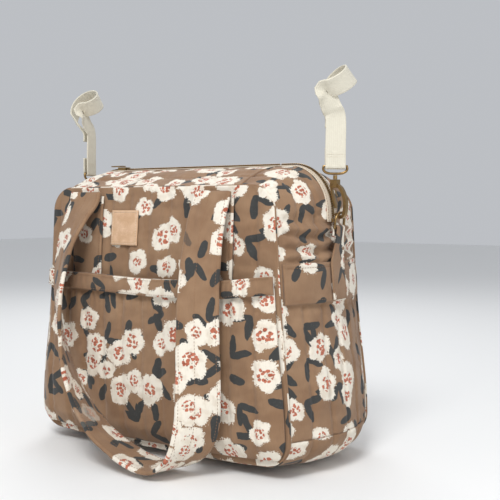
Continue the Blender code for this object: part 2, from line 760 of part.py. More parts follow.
def build_hook(side, sign):
    def at(x, z, y=0.0):
        return Vector((sign * x, HARDWARE_Y + y, z))

    head = block(side + "_hook_body", at(HEAD_X, HEAD_Z), (HEAD_LENGTH, HEAD_WIDTH, HEAD_HEIGHT), "brass")
    spine_line = [(at(p.x, p.y), (0, 1, 0)) for p in smooth_path([(x, z, 0.0) for x, z in hook_line()], 2)]
    spine = ribbon(side + "_hook_spine", spine_line, HOOK_WIDTH, HOOK_THICKNESS, "brass")
    PARTS.objects.unlink(spine)
    CUTTERS.objects.link(spine)
    boolean(head, "UNION", spine)
    slot_low = HEAD_Z - HEAD_HEIGHT
    slot_high = PIN_Z + PIN_RADIUS + PIN_CLEARANCE + GATE_THICKNESS + 2 * GAP
    slot_right = HEAD_X + 0.0012
    slot = block(side + "_gate_slot", at(slot_right - 0.008, (slot_low + slot_high) / 2),
                 (0.016, GATE_WIDTH + 4 * GAP, slot_high - slot_low), "brass", CUTTERS)
    boolean(head, "DIFFERENCE", slot)
    hole = bar(side + "_pin_hole", at(PIN_X, PIN_Z), (0, 1, 0), PIN_RADIUS + PIN_CLEARANCE,
               2 * HEAD_WIDTH, "brass", CUTTERS)
    boolean(head, "DIFFERENCE", hole)
    place_origin(head, at(HOOK_X, HOOK_Z))

    bar(side + "_hook_pin", at(PIN_X, PIN_Z), (0, 1, 0), PIN_RADIUS, HEAD_WIDTH + 0.0006, "brass")

    eye = PIN_RADIUS + PIN_CLEARANCE + GATE_THICKNESS / 2
    lever = []
    for angle in linspace(math.radians(-60), math.radians(180), 8):
        lever.append((PIN_X + eye * math.cos(angle), PIN_Z + eye * math.sin(angle)))
    lever += [(PIN_X - eye + 0.0012, PIN_Z - 0.008), (PIN_X - eye + 0.0034, PIN_Z - 0.017),
              (HOOK_X - 0.0062, HOOK_Z + 0.0052)]
    gate_line = [(at(x, z), (0, 1, 0)) for x, z in lever]
    gate = ribbon(side + "_hook_gate", gate_line, GATE_WIDTH, GATE_THICKNESS, "brass")
    place_origin(gate, at(PIN_X, PIN_Z))

    leaf_steps = ((0.0029, 0.0060), (0.0037, 0.0100), (0.0056, 0.0135))
    leaf = [(PIN_X + out, PIN_Z - down) for out, down in leaf_steps]
    leaf_line = [(at(x, z), (0, 1, 0)) for x, z in leaf]
    ribbon(side + "_gate_spring", leaf_line, SPRING_WIDTH, SPRING_THICKNESS, "brass")


# --- swivel, strap ring and strap ---
STUD_LOW = HEAD_Z + HEAD_HEIGHT / 2 + GAP
RING_LOW = STUD_LOW + STUD_HEIGHT + GAP + WIRE_RADIUS
RING_BAR_Z = RING_LOW + STRAP_RING_HEIGHT - 2 * WIRE_RADIUS


def across_direction(side):
    yaw = math.radians(STRAP_YAW[side])
    return Vector((math.cos(yaw), math.sin(yaw), 0.0))


def build_swivel(side, sign):
    across = across_direction(side)
    centre = Vector((sign * HEAD_X, HARDWARE_Y, 0.0))
    stud = bar(side + "_swivel_stud", centre + Vector((0, 0, STUD_LOW + STUD_HEIGHT / 2)), (0, 0, 1),
               STUD_RADIUS, STUD_HEIGHT, "brass")
    place_origin(stud, centre + Vector((0, 0, STUD_LOW)))
    half = STRAP_RING_HALF_WIDTH - WIRE_RADIUS
    rise = RING_BAR_Z - RING_LOW
    points = [(half, rise), (0.0, rise), (-half, rise)]
    for angle in linspace(math.pi, 2 * math.pi, 12):
        out = math.copysign(abs(math.cos(angle)) ** 0.6, math.cos(angle))
        points.append((half * out, rise * RING_SIDE * (1 + math.sin(angle))))
    ring = [centre + across * along + Vector((0, 0, RING_LOW + up)) for along, up in points]
    piece = wire(side + "_strap_ring", ring, WIRE_RADIUS, "brass")
    place_origin(piece, centre + Vector((0, 0, RING_BAR_Z)))


def strap_stations(side, sign):
    """Centre line and width direction of the webbing: round the ring, up, and once round the push bar."""
    across = across_direction(side)
    away = Vector((-across.y, across.x, 0.0))
    base = Vector((sign * HEAD_X, HARDWARE_Y, RING_BAR_Z))
    fold = WIRE_RADIUS + GAP + STRAP_THICKNESS / 2
    push_bar = Vector((sign * PUSH_BAR_DIRECTION[0], *PUSH_BAR_DIRECTION[1:])).normalized()
    if push_bar.dot(across) < 0:
        push_bar = -push_bar
    toward_front = push_bar.cross(Vector((0, 0, 1))).normalized()
    if toward_front.dot(away) > 0:
        toward_front = -toward_front
    upward = toward_front.cross(push_bar).normalized()
    if upward.z < 0:
        upward = -upward
    stations = [(base + away * fold + Vector((0, 0, STRAP_TAIL)), across),
                (base + away * fold + Vector((0, 0, STRAP_TAIL / 2)), across)]
    for angle in linspace(0, math.pi, 8):
        under = Vector((0, 0, fold * math.sin(angle)))
        stations.append((base + away * fold * math.cos(angle) - under, across))
    stations.append((base - away * fold + Vector((0, 0, STRAP_TAIL)), across))
    neck = base + Vector((0, 0, STRAP_LENGTH))
    centre = neck + Vector((0, 0, PUSH_BAR_RADIUS + KNOT_RISE)) + away * KNOT_SETBACK
    wrap = PUSH_BAR_RADIUS + STRAP_THICKNESS
    loop = []
    for angle in linspace(WRAP_START, WRAP_END, 15):
        turn = math.radians(angle)
        share = (angle - WRAP_START) / (WRAP_END - WRAP_START)
        slide = push_bar * (WRAP_SHIFT * (share - 0.45))
        loop.append(centre + toward_front * wrap * math.cos(turn) + upward * wrap * math.sin(turn) + slide)
    front_neck = neck - away * fold
    back_neck = neck + away * fold
    stations.append((front_neck, across))
    for share in (0.35, 0.7):
        stations.append((front_neck.lerp(loop[0], share), across.lerp(push_bar, share)))
    stations += [(point, push_bar) for point in loop]
    for share in (0.35, 0.7):
        stations.append((loop[-1].lerp(back_neck, share), push_bar.lerp(across, share)))
    stations.append((back_neck, across))
    stations.append((back_neck - Vector((0, 0, STRAP_TAIL / 2)), across))
    return stations


def build_strap(side, sign):
    stations = strap_stations(side, sign)
    piece = ribbon(side + "_strap", stations, STRAP_WIDTH, STRAP_THICKNESS, "webbing")
    place_origin(piece, (sign * HEAD_X, HARDWARE_Y, RING_BAR_Z))


def main():
    build_panels()
    build_gussets()
    build_lining()
    build_board()
    build_inner_pocket()
    build_pocket()
    build_label()
    build_strips()
    build_handles()
    build_flaps()
    build_zip_ends()
    build_slider()
    build_bands()
    for side, sign in (("right", 1.0), ("left", -1.0)):
        build_ring_tab(side, sign)
        build_d_ring(side, sign)
        build_hook(side, sign)
        build_swivel(side, sign)
        build_strap(side, sign)


main()
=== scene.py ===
import bmesh
import bpy
import math
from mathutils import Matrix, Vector, noise


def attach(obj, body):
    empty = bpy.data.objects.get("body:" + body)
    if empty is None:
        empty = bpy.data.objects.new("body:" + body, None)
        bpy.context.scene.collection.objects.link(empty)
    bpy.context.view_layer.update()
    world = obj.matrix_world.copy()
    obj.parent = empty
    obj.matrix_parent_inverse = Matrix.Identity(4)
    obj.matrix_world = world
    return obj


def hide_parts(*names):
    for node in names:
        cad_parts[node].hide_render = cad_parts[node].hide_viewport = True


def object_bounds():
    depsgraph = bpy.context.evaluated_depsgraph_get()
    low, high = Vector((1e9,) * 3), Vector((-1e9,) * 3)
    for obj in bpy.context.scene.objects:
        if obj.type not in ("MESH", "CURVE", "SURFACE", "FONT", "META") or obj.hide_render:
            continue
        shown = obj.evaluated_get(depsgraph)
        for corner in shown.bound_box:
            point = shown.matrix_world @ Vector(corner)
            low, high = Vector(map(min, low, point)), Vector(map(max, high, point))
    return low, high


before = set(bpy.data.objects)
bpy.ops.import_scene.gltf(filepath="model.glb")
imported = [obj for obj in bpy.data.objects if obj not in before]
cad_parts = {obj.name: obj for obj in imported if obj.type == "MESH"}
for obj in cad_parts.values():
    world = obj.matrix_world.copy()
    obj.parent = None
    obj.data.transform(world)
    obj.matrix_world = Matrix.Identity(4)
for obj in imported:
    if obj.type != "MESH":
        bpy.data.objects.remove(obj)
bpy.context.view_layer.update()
print("frame loaded")

bag = {
    "seamBase": 0.186, "seamTop": 0.167, "depth": 0.085, "baseSeam": 0.01185, "topSeam": 0.31085,
    "baseCorner": 0.026, "topCorner": 0.030, "sideBulgeBase": 0.025, "sideBulgeTop": 0.019,
    "topBulge": 0.024, "baseBulge": 0.012, "crown": 0.010, "quilt": 0.005, "gap": 0.0003,
    "sag": 0.0125, "sagHeight": 0.150, "lowBulge": 0.0060,
    "flapHalf": 0.120, "flapGap": 0.0004, "air": 0.0002,
}
topLevel = bag["topSeam"] - bag["topCorner"]
baseLevel = bag["baseSeam"] + bag["baseCorner"]


class Socket:
    # wraps an output socket, so that shader maths reads as an expression
    def __init__(self, look, output):
        self.look = look
        self.output = output

    def maths(self, operation, *values):
        return self.look.node("ShaderNodeMath", {"operation": operation}, list(values))

    def __add__(self, other):
        return self.maths("ADD", self, other)

    def __radd__(self, other):
        return self.maths("ADD", other, self)

    def __sub__(self, other):
        return self.maths("SUBTRACT", self, other)

    def __rsub__(self, other):
        return self.maths("SUBTRACT", other, self)

    def __mul__(self, other):
        return self.maths("MULTIPLY", self, other)

    def __rmul__(self, other):
        return self.maths("MULTIPLY", other, self)

    def __truediv__(self, other):
        return self.maths("DIVIDE", self, other)

    def sin(self):
        return self.maths("SINE", self)

    def abs(self):
        return self.maths("ABSOLUTE", self)

    def above(self, edge, soft):
        # 0 below the edge, 1 above it, with a soft step
        return self.look.node("ShaderNodeMapRange", {"interpolation_type": "SMOOTHSTEP"},
                              {"Value": self, "From Min": edge - soft, "From Max": edge + soft})

    def below(self, edge, soft):
        return 1 - self.above(edge, soft)


class Look:
    # one material, with a Principled shader
    def __init__(self, name, **values):
        self.material = bpy.data.materials.new(name)
        self.material.use_nodes = True
        self.tree = self.material.node_tree
        self.shader = self.tree.nodes["Principled BSDF"]
        for key, value in values.items():
            self.shader.inputs[key].default_value = value

    def node(self, kind, settings=None, inputs=None, out=0):
        made = self.tree.nodes.new(kind)
        for key, value in (settings or {}).items():
            if key == "stops":
                while len(made.color_ramp.elements) < len(value):
                    made.color_ramp.elements.new(0.5)
                for element, (place, colour) in zip(made.color_ramp.elements, value):
                    element.position = place
                    element.color = colour
            else:
                setattr(made, key, value)
        pairs = enumerate(inputs) if isinstance(inputs, list) else (inputs or {}).items()
        for key, value in pairs:
            self.feed(made.inputs[key], value)
        return Socket(self, made.outputs[out])

    def feed(self, target, value):
        if isinstance(value, Socket):
            self.tree.links.new(value.output, target)
        else:
            target.default_value = value

    def set(self, name, value):
        self.feed(self.shader.inputs[name], value)

    def mix(self, factor, first, second):
        return self.node("ShaderNodeMix", {"data_type": "RGBA"},
                         {"Factor": factor, 6: first, 7: second}, out=2)

    def vector(self, operation, *values, out=0):
        return self.node("ShaderNodeVectorMath", {"operation": operation}, list(values), out)

    def parts(self, value):
        made = self.tree.nodes.new("ShaderNodeSeparateXYZ")
        self.feed(made.inputs[0], value)
        return [Socket(self, output) for output in made.outputs]

    def noise(self, place, scale, detail=2.0, rough=0.5):
        return self.node("ShaderNodeTexNoise", {"noise_dimensions": "3D"},
                         {"Vector": place, "Scale": scale, "Detail": detail, "Roughness": rough})

    def attribute(self, name):
        return self.node("ShaderNodeAttribute", {"attribute_name": name}, out=1)

    def object(self):
        return self.node("ShaderNodeTexCoord", out=3)

    def bump(self, height, strength, distance, before=None):
        inputs = {"Height": height, "Strength": strength, "Distance": distance}
        if before:
            inputs["Normal"] = before
        return self.node("ShaderNodeBump", {}, inputs)


def rgb(red, green, blue):
    # a linear colour from the usual 0 to 255 values
    out = []
    for value in (red, green, blue):
        value /= 255
        out.append(value / 12.92 if value <= 0.04045 else ((value + 0.055) / 1.055) ** 2.4)
    return (*out, 1.0)


cloth = {
    "ground": rgb(152, 121, 93), "groundDark": rgb(137, 106, 80), "groundLight": rgb(166, 135, 106),
    "flower": rgb(236, 228, 213), "flowerShade": rgb(219, 206, 187),
    "dab": rgb(190, 112, 86), "dabDark": rgb(168, 90, 66),
    "leaf": rgb(60, 61, 60), "leafLight": rgb(84, 84, 80), "thread": 0.00078,
}


def weave(look, place, pitch):
    # height of a plain weave with this thread pitch
    across, along, _ = look.parts(place)
    turns = 2 * math.pi / pitch
    warp = (across * turns).sin()
    weft = (along * turns).sin()
    return (warp * weft) * 0.5 + 0.5


def scattered(look, moved, spacing, randomness):
    # one cell for each motif: its random numbers, and the place in metres from the cell's point
    cells = look.tree.nodes.new("ShaderNodeTexVoronoi")
    cells.voronoi_dimensions = "2D"
    cells.inputs["Scale"].default_value = 1 / spacing
    cells.inputs["Randomness"].default_value = randomness
    look.feed(cells.inputs["Vector"], moved)
    local = look.vector("SUBTRACT", moved, Socket(look, cells.outputs["Position"]))
    return look.parts(Socket(look, cells.outputs["Color"])), local


def spots(look, place, pitch, randomness):
    return look.node("ShaderNodeTexVoronoi", {"voronoi_dimensions": "2D"},
                     {"Vector": place, "Scale": 1 / pitch, "Randomness": randomness}, out=0)


def flowerLayer(look, place, spacing, size, share, offset, petals):
    # one scatter of flowers: the mask of their petals, and of the dabs and specks in them
    moved = look.vector("ADD", place, (offset, offset * 0.7, 0.0))
    dice, local = scattered(look, moved, spacing, 0.62)
    x, y, _ = look.parts(local)
    reach = look.vector("LENGTH", local, out=1)
    angle = look.node("ShaderNodeMath", {"operation": "ARCTAN2"}, [y, x])
    lobes = ((angle * petals + dice[1] * 6.3).sin()).abs() * 0.20
    stretch = (angle * 2 + dice[2] * 6.3).sin() * 0.14
    rough = look.noise(moved, 1 / (size * 0.13), 2.0, 0.7) * 0.74
    brush = look.noise(moved, 1 / (size * 0.50), 1.0) * 0.34
    edge = (lobes + stretch + rough + brush + 0.30 + dice[1] * 0.22) * size
    here = dice[0].below(share, 0.002)
    petal = (edge - reach).above(0.0, 0.00028) * here
    # brush dabs in a loose ring near the middle
    blobs = spots(look, moved, size * 0.30, 0.9)
    ragged = look.noise(moved, 1 / (size * 0.13), 1.0) * 0.34
    ring = (reach + ragged * size * 0.5).below(size * 0.64, size * 0.03)
    dab = (blobs + ragged).below(0.60, 0.035) * ring * petal
    speck = spots(look, moved, size * 0.24, 1.0)
    dot = (speck + ragged * 0.6).below(0.24, 0.04) * reach.below(size * 0.50, size * 0.05) * petal
    return petal, dab, dot


def leafLayer(look, place, spacing, size, share, offset):
    # long brushed leaves, some of them in pairs that open like a V
    moved = look.vector("ADD", place, (offset, offset * 1.3, 0.0))
    dice, local = scattered(look, moved, spacing, 0.75)
    turned = look.node("ShaderNodeVectorRotate", {"rotation_type": "Z_AXIS"},
                       {"Vector": local, "Angle": dice[1] * 6.283})
    x, y, _ = look.parts(turned)
    paired = dice[2].above(0.45, 0.01)
    x = look.node("ShaderNodeMix", {}, {"Factor": paired, 2: x, 3: x.abs() - y * 0.62 - size * 0.60})
    wobble = look.noise(moved, 1 / (size * 0.35), 1.0) * 0.5 - 0.25
    long = y.abs() / size
    wide = x.abs() / (size * 0.46)
    shape = long * long * long + wide * wide + wobble
    return shape.below(0.94, 0.05) * dice[0].below(share, 0.002)


def printedCloth(name):
    look = Look(name, Roughness=0.88)
    look.set("Sheen Weight", 0.15)
    look.set("Sheen Roughness", 0.5)
    look.set("Specular IOR Level", 0.25)
    place = look.attribute("cloth")
    wander = look.noise(place, 60.0, 1.0)
    drift = look.node("ShaderNodeTexNoise", {}, {"Vector": place, "Scale": 70.0, "Detail": 1.0}, out=1)
    bent = look.vector("MULTIPLY_ADD", drift, (0.004, 0.004, 0.0), place)
    tone = look.noise(place, 26.0, 3.0)
    colour = look.mix(tone.above(0.52, 0.22), cloth["groundDark"], cloth["ground"])
    colour = look.mix(wander.above(0.62, 0.2) * 0.35, colour, cloth["groundLight"])
    for spacing, size, share, offset in ((0.037, 0.0108, 0.62, 3.17), (0.041, 0.0114, 0.50, 8.71)):
        leaf = leafLayer(look, bent, spacing, size, share, offset)
        streak = look.noise(place, 420.0, 1.0).above(0.66, 0.08) * 0.35
        colour = look.mix(leaf, colour, look.mix(streak, cloth["leaf"], cloth["leafLight"]))
    layers = ((0.050, 0.0155, 0.50, 1.93, 2.5), (0.055, 0.0165, 0.46, 5.37, 3.0),
              (0.044, 0.0120, 0.44, 7.13, 2.5))
    shade = look.noise(place, 95.0, 2.0).above(0.56, 0.12)
    for spacing, size, share, offset, petals in layers:
        petal, dab, dot = flowerLayer(look, bent, spacing, size, share, offset, petals)
        colour = look.mix(petal, colour, look.mix(shade * 0.7, cloth["flower"], cloth["flowerShade"]))
        colour = look.mix(dab, colour, look.mix(shade, cloth["dab"], cloth["dabDark"]))
        colour = look.mix(dot * 0.85, colour, cloth["leaf"])
    threads = weave(look, place, cloth["thread"])
    slub = look.noise(look.vector("MULTIPLY", place, (1.0, 0.12, 1.0)), 900.0, 1.0)
    # the weave's hollows are darkened: painted shade; the slub streaks darken as yarn tone
    colour = look.mix((1 - threads) * 0.10 + slub.above(0.6, 0.15) * 0.06, colour, rgb(60, 44, 34))
    look.set("Base Color", colour)
    crumple = look.noise(look.object(), 120.0, 3.0)
    soft = look.bump(crumple, 0.35, 0.0009)
    look.set("Normal", look.bump(threads + slub * 0.6, 0.30, 0.00018, soft))
    return look.material


def wovenBand(name, colour, dark, pitch, rib):
    look = Look(name, Roughness=0.86)
    look.set("Sheen Weight", 0.12)
    look.set("Specular IOR Level", 0.25)
    place = look.attribute("cloth")
    across = look.parts(place)[0]
    ribs = ((across * (2 * math.pi / rib)).sin() * 0.5 + 0.5)
    threads = weave(look, place, pitch)
    mottle = look.noise(place, 180.0, 3.0)
    tone = look.mix(mottle.above(0.5, 0.25) * 0.12, colour, dark)
    # the hollows between threads and between ribs are darkened: painted shade
    tone = look.mix((1 - threads) * 0.28, tone, dark)
    tone = look.mix((1 - ribs) * 0.16, tone, dark)
    look.set("Base Color", tone)
    look.set("Normal", look.bump(threads * 0.6 + ribs * 0.6 + mottle * 0.1, 0.5, 0.00022))
    return look.material


def oldBrass(name, dark=0.5):
    look = Look(name, Metallic=1.0, Roughness=0.38)
    place = look.object()
    cloud = look.noise(place, 260.0, 4.0, 0.6)
    fine = look.noise(place, 1400.0, 2.0)
    point = look.node("ShaderNodeNewGeometry", out=7)
    worn = point.above(0.535, 0.03)
    tone = look.mix((cloud + fine * 0.25).above(dark, 0.22), rgb(62, 46, 28), rgb(128, 100, 62))
    look.set("Base Color", look.mix(worn * 0.6, tone, rgb(178, 148, 101)))
    look.set("Roughness", cloud * 0.30 + 0.20)
    look.set("Normal", look.bump(fine, 0.10, 0.0001))
    return look.material


def leatherLook(name):
    look = Look(name, Roughness=0.55)
    place = look.object()
    mottle = look.noise(place, 90.0, 4.0, 0.6)
    grain = look.node("ShaderNodeTexVoronoi", {"feature": "DISTANCE_TO_EDGE"},
                      {"Vector": place, "Scale": 1500.0})
    pores = look.noise(place, 2400.0, 2.0)
    tone = look.mix(mottle.above(0.5, 0.2), rgb(198, 160, 125), rgb(215, 181, 149))
    tone = look.mix(pores.below(0.42, 0.06) * 0.30, tone, rgb(158, 118, 84))
    look.set("Base Color", tone)
    look.set("Roughness", mottle * 0.2 + 0.45)
    look.set("Normal", look.bump(grain.above(0.06, 0.06), 0.14, 0.00012))
    return look.material


def plainCloth(name, colour, dark, pitch=0.0006):
    look = Look(name, Roughness=0.9)
    place = look.object()
    x, y, z = look.parts(place)
    turns = 2 * math.pi / pitch
    threads = ((x + y) * turns).sin() * (z * turns).sin() * 0.5 + 0.5
    tone = look.mix(look.noise(place, 40.0, 3.0).above(0.5, 0.2), dark, colour)
    # darker between the threads: painted shade
    look.set("Base Color", look.mix((1 - threads) * 0.12, tone, dark))
    look.set("Normal", look.bump(look.noise(place, 160.0, 3.0), 0.3, 0.0008))
    return look.material


def boardLook(name):
    look = Look(name, Roughness=0.6)
    place = look.object()
    look.set("Base Color", look.mix(look.noise(place, 300.0, 2.0), rgb(30, 29, 28), rgb(46, 44, 42)))
    look.set("Normal", look.bump(look.noise(place, 1200.0, 2.0), 0.2, 0.0003))
    return look.material


looks = {
    "print": printedCloth("printed_cotton"),
    "tape": wovenBand("zip_tape_cotton", rgb(222, 209, 189), rgb(178, 158, 132), 0.0007, 0.0011),
    "webbing": wovenBand("cream_webbing", rgb(222, 217, 201), rgb(184, 175, 154), 0.0011, 0.0022),
    "elastic": wovenBand("white_elastic", rgb(232, 230, 224), rgb(180, 178, 172), 0.0008, 0.0008),
    "thread": wovenBand("brown_thread", rgb(150, 112, 82), rgb(104, 74, 52), 0.0003, 0.0003),
    "creamThread": wovenBand("cream_thread", rgb(226, 216, 196), rgb(180, 165, 140), 0.0003, 0.0003),
    "brass": oldBrass("antique_brass", 0.60),
    # a slightly lighter copy of the same brass for the zip teeth: painted highlight
    "teeth": oldBrass("teeth_painted_highlight", 0.56),
    # a lighter copy of the same brass for the zip stops, slider, pull, swivel studs and strap rings: painted
    # highlight
    "bright": oldBrass("brass_painted_highlight", 0.40),
    "leather": leatherLook("label_leather"),
    "lining": plainCloth("lining_cotton", rgb(216, 207, 188), rgb(190, 178, 156)),
    "board": boardLook("base_stiffener"),
}
print("materials made")


def spread(start, stop, steps):
    return [start + (stop - start) * i / steps for i in range(steps + 1)]


def smooth(value, low, high):
    t = min(1.0, max(0.0, (value - low) / (high - low)))
    return t * t * (3 - 2 * t)


def dent(distance, width):
    return math.exp(-(distance / width) ** 2)


def wave(x, y, z, scale):
    return noise.noise(Vector((x * scale, y * scale, z * scale)))


def height(z):
    return (z - bag["baseSeam"]) / (bag["topSeam"] - bag["baseSeam"])


def seamHalf(z):
    return bag["seamBase"] + (bag["seamTop"] - bag["seamBase"]) * height(z)


topX = seamHalf(topLevel) - bag["topCorner"]
baseX = seamHalf(baseLevel) - bag["baseCorner"]


def panelHalf(z):
    if z > topLevel:
        rise = min(z - topLevel, bag["topCorner"])
        return topX + math.sqrt(bag["topCorner"] ** 2 - rise ** 2)
    if z < baseLevel:
        drop = min(baseLevel - z, bag["baseCorner"])
        return baseX + math.sqrt(bag["baseCorner"] ** 2 - drop ** 2)
    return seamHalf(z)


def settle(point):
    # the filled bag's weight: its lower part drops and swells
    x, y, z = point
    low = 1 - smooth(z, 0.0, bag["sagHeight"])
    across = 1 - 0.45 * min(1.0, abs(x) / 0.18) ** 3
    swell = bag["lowBulge"] * dent(z - 0.060, 0.075)
    x += math.copysign(swell * smooth(abs(x), 0.10, 0.19), x)
    y += math.copysign(swell * 0.35 * smooth(abs(y), 0.04, 0.09), y)
    return Vector((x, y, z - bag["sag"] * low * across))


def crownAt(x, z):
    across = 1 - min(1.0, abs(x) / panelHalf(z)) ** 2.5
    upright = math.sin(math.pi * min(1.0, max(0.0, height(z))) ** 0.85)
    return bag["crown"] * across * max(0.0, upright) ** 0.7


quilting = {"pitch": 0.0305, "depth": 0.0026, "groove": 0.0028, "crumple": 0.0015}


def channels(along, z, pitch=quilting["pitch"]):
    # soft ridges between sewn lines, with small puckers beside each line
    place = along / pitch
    near = abs(place - round(place)) * pitch
    puff = (1 - dent(near, quilting["groove"])) * quilting["depth"]
    pucker = 0.00045 * dent(near - 0.0035, 0.003) * math.sin(z * 900 + 7 * wave(along, 0, z, 60))
    return puff - quilting["depth"] + pucker


def crumpled(x, y, z, amount=quilting["crumple"]):
    # broad hollows, with creases where the noise turns
    crease = 0.55 - 1.6 * abs(wave(x, y + 3, z * 1.5, 38))
    hollow = wave(x, y, z, 26) + 0.5 * wave(x, y, z, 62) + 0.2 * wave(x, y, z, 150)
    return amount * (hollow + 0.45 * crease) - amount * 0.8


def panelFace(x, z, lift=0.0):
    return Vector((x, -(bag["depth"] + bag["gap"] + bag["quilt"] + crownAt(x, z) + lift), z))


def sideBulge(z):
    return bag["sideBulgeBase"] + (bag["sideBulgeTop"] - bag["sideBulgeBase"]) * min(1.0, max(0.0, height(z)))


def gussetPoint(station, y, lift=0.0):
    x, z, normalX, normalZ = station
    upright = bag["topBulge"] if normalZ > 0 else bag["baseBulge"]
    bulge = sideBulge(z) * normalX ** 2 + upright * normalZ ** 2
    off = bulge * (1 - (y / bag["depth"]) ** 2) + lift
    return Vector((x + normalX * off, y, z + normalZ * off))


def arcStations(centreX, centreZ, radius, start, stop, steps):
    out = []
    for angle in spread(math.radians(start), math.radians(stop), steps):
        normal = (math.cos(angle), math.sin(angle))
        out.append((centreX + radius * normal[0], centreZ + radius * normal[1], *normal))
    return out


def sideStations(low, high, steps):
    return [(seamHalf(z), z, 1.0, 0.0) for z in spread(low, high, steps)]


def sameSide(p):
    return p


def mirrorX(p):
    return Vector((-p.x, p.y, p.z))


def mirrorY(p):
    return Vector((p.x, -p.y, p.z))


def topStations(start, stop, steps):
    return [(x, bag["topSeam"], 0.0, 1.0) for x in spread(start, stop, steps)]


def flipX(rows):
    return [[mirrorX(p) for p in reversed(row)] for row in rows]


def flipY(rows):
    return [[mirrorY(p) for p in reversed(row)] for row in rows]


def markCloth(mesh, values):
    # each point's place on its cloth, as x, y and z in metres
    mesh.attributes.new("cloth", "FLOAT_VECTOR", "POINT").data.foreach_set("vector", values)


def addMesh(name, points, faces, look, cloths=None, smoothed=True):
    mesh = bpy.data.meshes.new(name)
    mesh.from_pydata([tuple(p) for p in points], [], faces)
    if cloths:
        markCloth(mesh, [value for place in cloths for value in (*place, 0.0)])
    mesh.materials.append(looks[look])
    mesh.validate()
    obj = bpy.data.objects.new(name, mesh)
    bpy.context.scene.collection.objects.link(obj)
    for face in mesh.polygons:
        face.use_smooth = smoothed
    return obj


def shellPiece(name, inner, outer, look, cloths=None, offset=(0.0, 0.0)):
    # a closed shell from two grids of points, and its place on the cloth
    rows, columns = len(outer), len(outer[0])
    points = [p for row in outer for p in row] + [p for row in inner for p in row]
    count = rows * columns
    if cloths is None:
        cloths = clothGrid(outer, offset)
    flat = [place for row in cloths for place in row] * 2
    faces = []
    for i in range(rows - 1):
        for j in range(columns - 1):
            a = i * columns + j
            quad = (a, a + 1, a + 1 + columns, a + columns)
            faces.append(quad)
            faces.append(tuple(count + v for v in reversed(quad)))
    ring = list(range(columns)) + [i * columns + columns - 1 for i in range(1, rows)]
    ring += [(rows - 1) * columns + j for j in range(columns - 2, -1, -1)]
    ring += [i * columns for i in range(rows - 2, 0, -1)]
    for k, a in enumerate(ring):
        b = ring[(k + 1) % len(ring)]
        faces.append((a, count + a, count + b, b))
    return addMesh(name, points, faces, look, flat)


def clothGrid(grid, offset):
    # lengths along the rows and columns, in metres
    down = [0.0]
    middle = len(grid[0]) // 2
    for a, b in zip(grid, grid[1:]):
        down.append(down[-1] + (b[middle] - a[middle]).length)
    out = []
    for i, row in enumerate(grid):
        along = [0.0]
        for a, b in zip(row, row[1:]):
            along.append(along[-1] + (b - a).length)
        half = along[-1] / 2
        out.append([(s - half + offset[0], down[i] + offset[1]) for s in along])
    return out


def pathThrough(points, steps):
    points = [Vector(p) for p in points]
    padded = [2 * points[0] - points[1], *points, 2 * points[-1] - points[-2]]
    path = []
    for i in range(1, len(padded) - 2):
        a, b, c, d = padded[i - 1:i + 3]
        for step in range(steps):
            t = step / steps
            path.append(0.5 * (2 * b + (c - a) * t + (2 * a - 5 * b + 4 * c - d) * t ** 2
                               + (3 * b - a - 3 * c + d) * t ** 3))
    path.append(points[-1])
    return path


def bandBend(across, along, wobble, lumps):
    # how far a band's cloth stands off its flat form
    return wobble * wave(across * 3, along, 0.5, 45) + lumps * wave(across, along, 1.5, 130)


def bandPiece(name, stations, width, thickness, look, offset=(0.0, 0.0), across=10, wobble=0.0, lumps=0.0):
    # a flat band along stations of (centre, width direction), with rounded edges
    outline = []
    half = width / 2
    for s in spread(-1, 1, across):
        outline.append((s * (half - thickness / 2), 1.0))
    for angle in (45, 0, -45):
        turn = math.radians(angle)
        outline.append((half - thickness / 2 + thickness / 2 * math.cos(turn), math.sin(turn)))
    for s in spread(1, -1, across):
        outline.append((s * (half - thickness / 2), -1.0))
    for angle in (-45, 0, 45):
        turn = math.radians(angle)
        outline.append((-(half - thickness / 2) - thickness / 2 * math.cos(turn), math.sin(turn)))
    points, cloths, length = [], [], 0.0
    for i, (centre, side) in enumerate(stations):
        ahead = stations[min(i + 1, len(stations) - 1)][0]
        behind = stations[max(i - 1, 0)][0]
        along = (ahead - behind).normalized()
        side = (side - along * side.dot(along)).normalized()
        out = side.cross(along).normalized()
        if i:
            length += (centre - stations[i - 1][0]).length
        for u, v in outline:
            bend = bandBend(u, length, wobble, lumps)
            lift = thickness / 2 * v
            points.append(centre + side * (u + 0.4 * bend) + out * (lift + bend))
            cloths.append((u + offset[0], length + offset[1]))
    count = len(outline)
    faces = []
    for i in range(len(stations) - 1):
        for j in range(count):
            a, b = i * count + j, i * count + (j + 1) % count
            faces.append((a, a + count, b + count, b))
    faces.append(tuple(range(count)))
    last = (len(stations) - 1) * count
    faces.append(tuple(last + j for j in reversed(range(count))))
    obj = addMesh(name, points, faces, look, cloths)
    recalc(obj)
    return obj


def recalc(obj):
    bm = bmesh.new()
    bm.from_mesh(obj.data)
    bmesh.ops.recalc_face_normals(bm, faces=bm.faces)
    bm.to_mesh(obj.data)
    bm.free()


def tubePiece(name, points, radius, look, sides=14):
    # a round bar along a closed path
    points = [Vector(p) for p in points]
    count = len(points)
    rings, faces = [], []
    normal = None
    for i, p in enumerate(points):
        along = (points[(i + 1) % count] - points[i - 1]).normalized()
        if normal is None:
            normal = along.orthogonal().normalized()
        normal = (normal - along * normal.dot(along)).normalized()
        other = along.cross(normal)
        for k in range(sides):
            turn = 2 * math.pi * k / sides
            rings.append(p + normal * radius * math.cos(turn) + other * radius * math.sin(turn))
    for i in range(count):
        shift = 0
        if i == count - 1:
            # the last ring meets the first at its nearest corner
            shift = min(range(sides), key=lambda k: (rings[i * sides + k] - rings[0]).length)
        following = ((i + 1) % count) * sides
        for k in range(sides):
            a = i * sides + (k + shift) % sides
            b = i * sides + (k + 1 + shift) % sides
            faces.append((a, b, following + (k + 1) % sides, following + k))
    obj = addMesh(name, rings, faces, look)
    recalc(obj)
    return obj


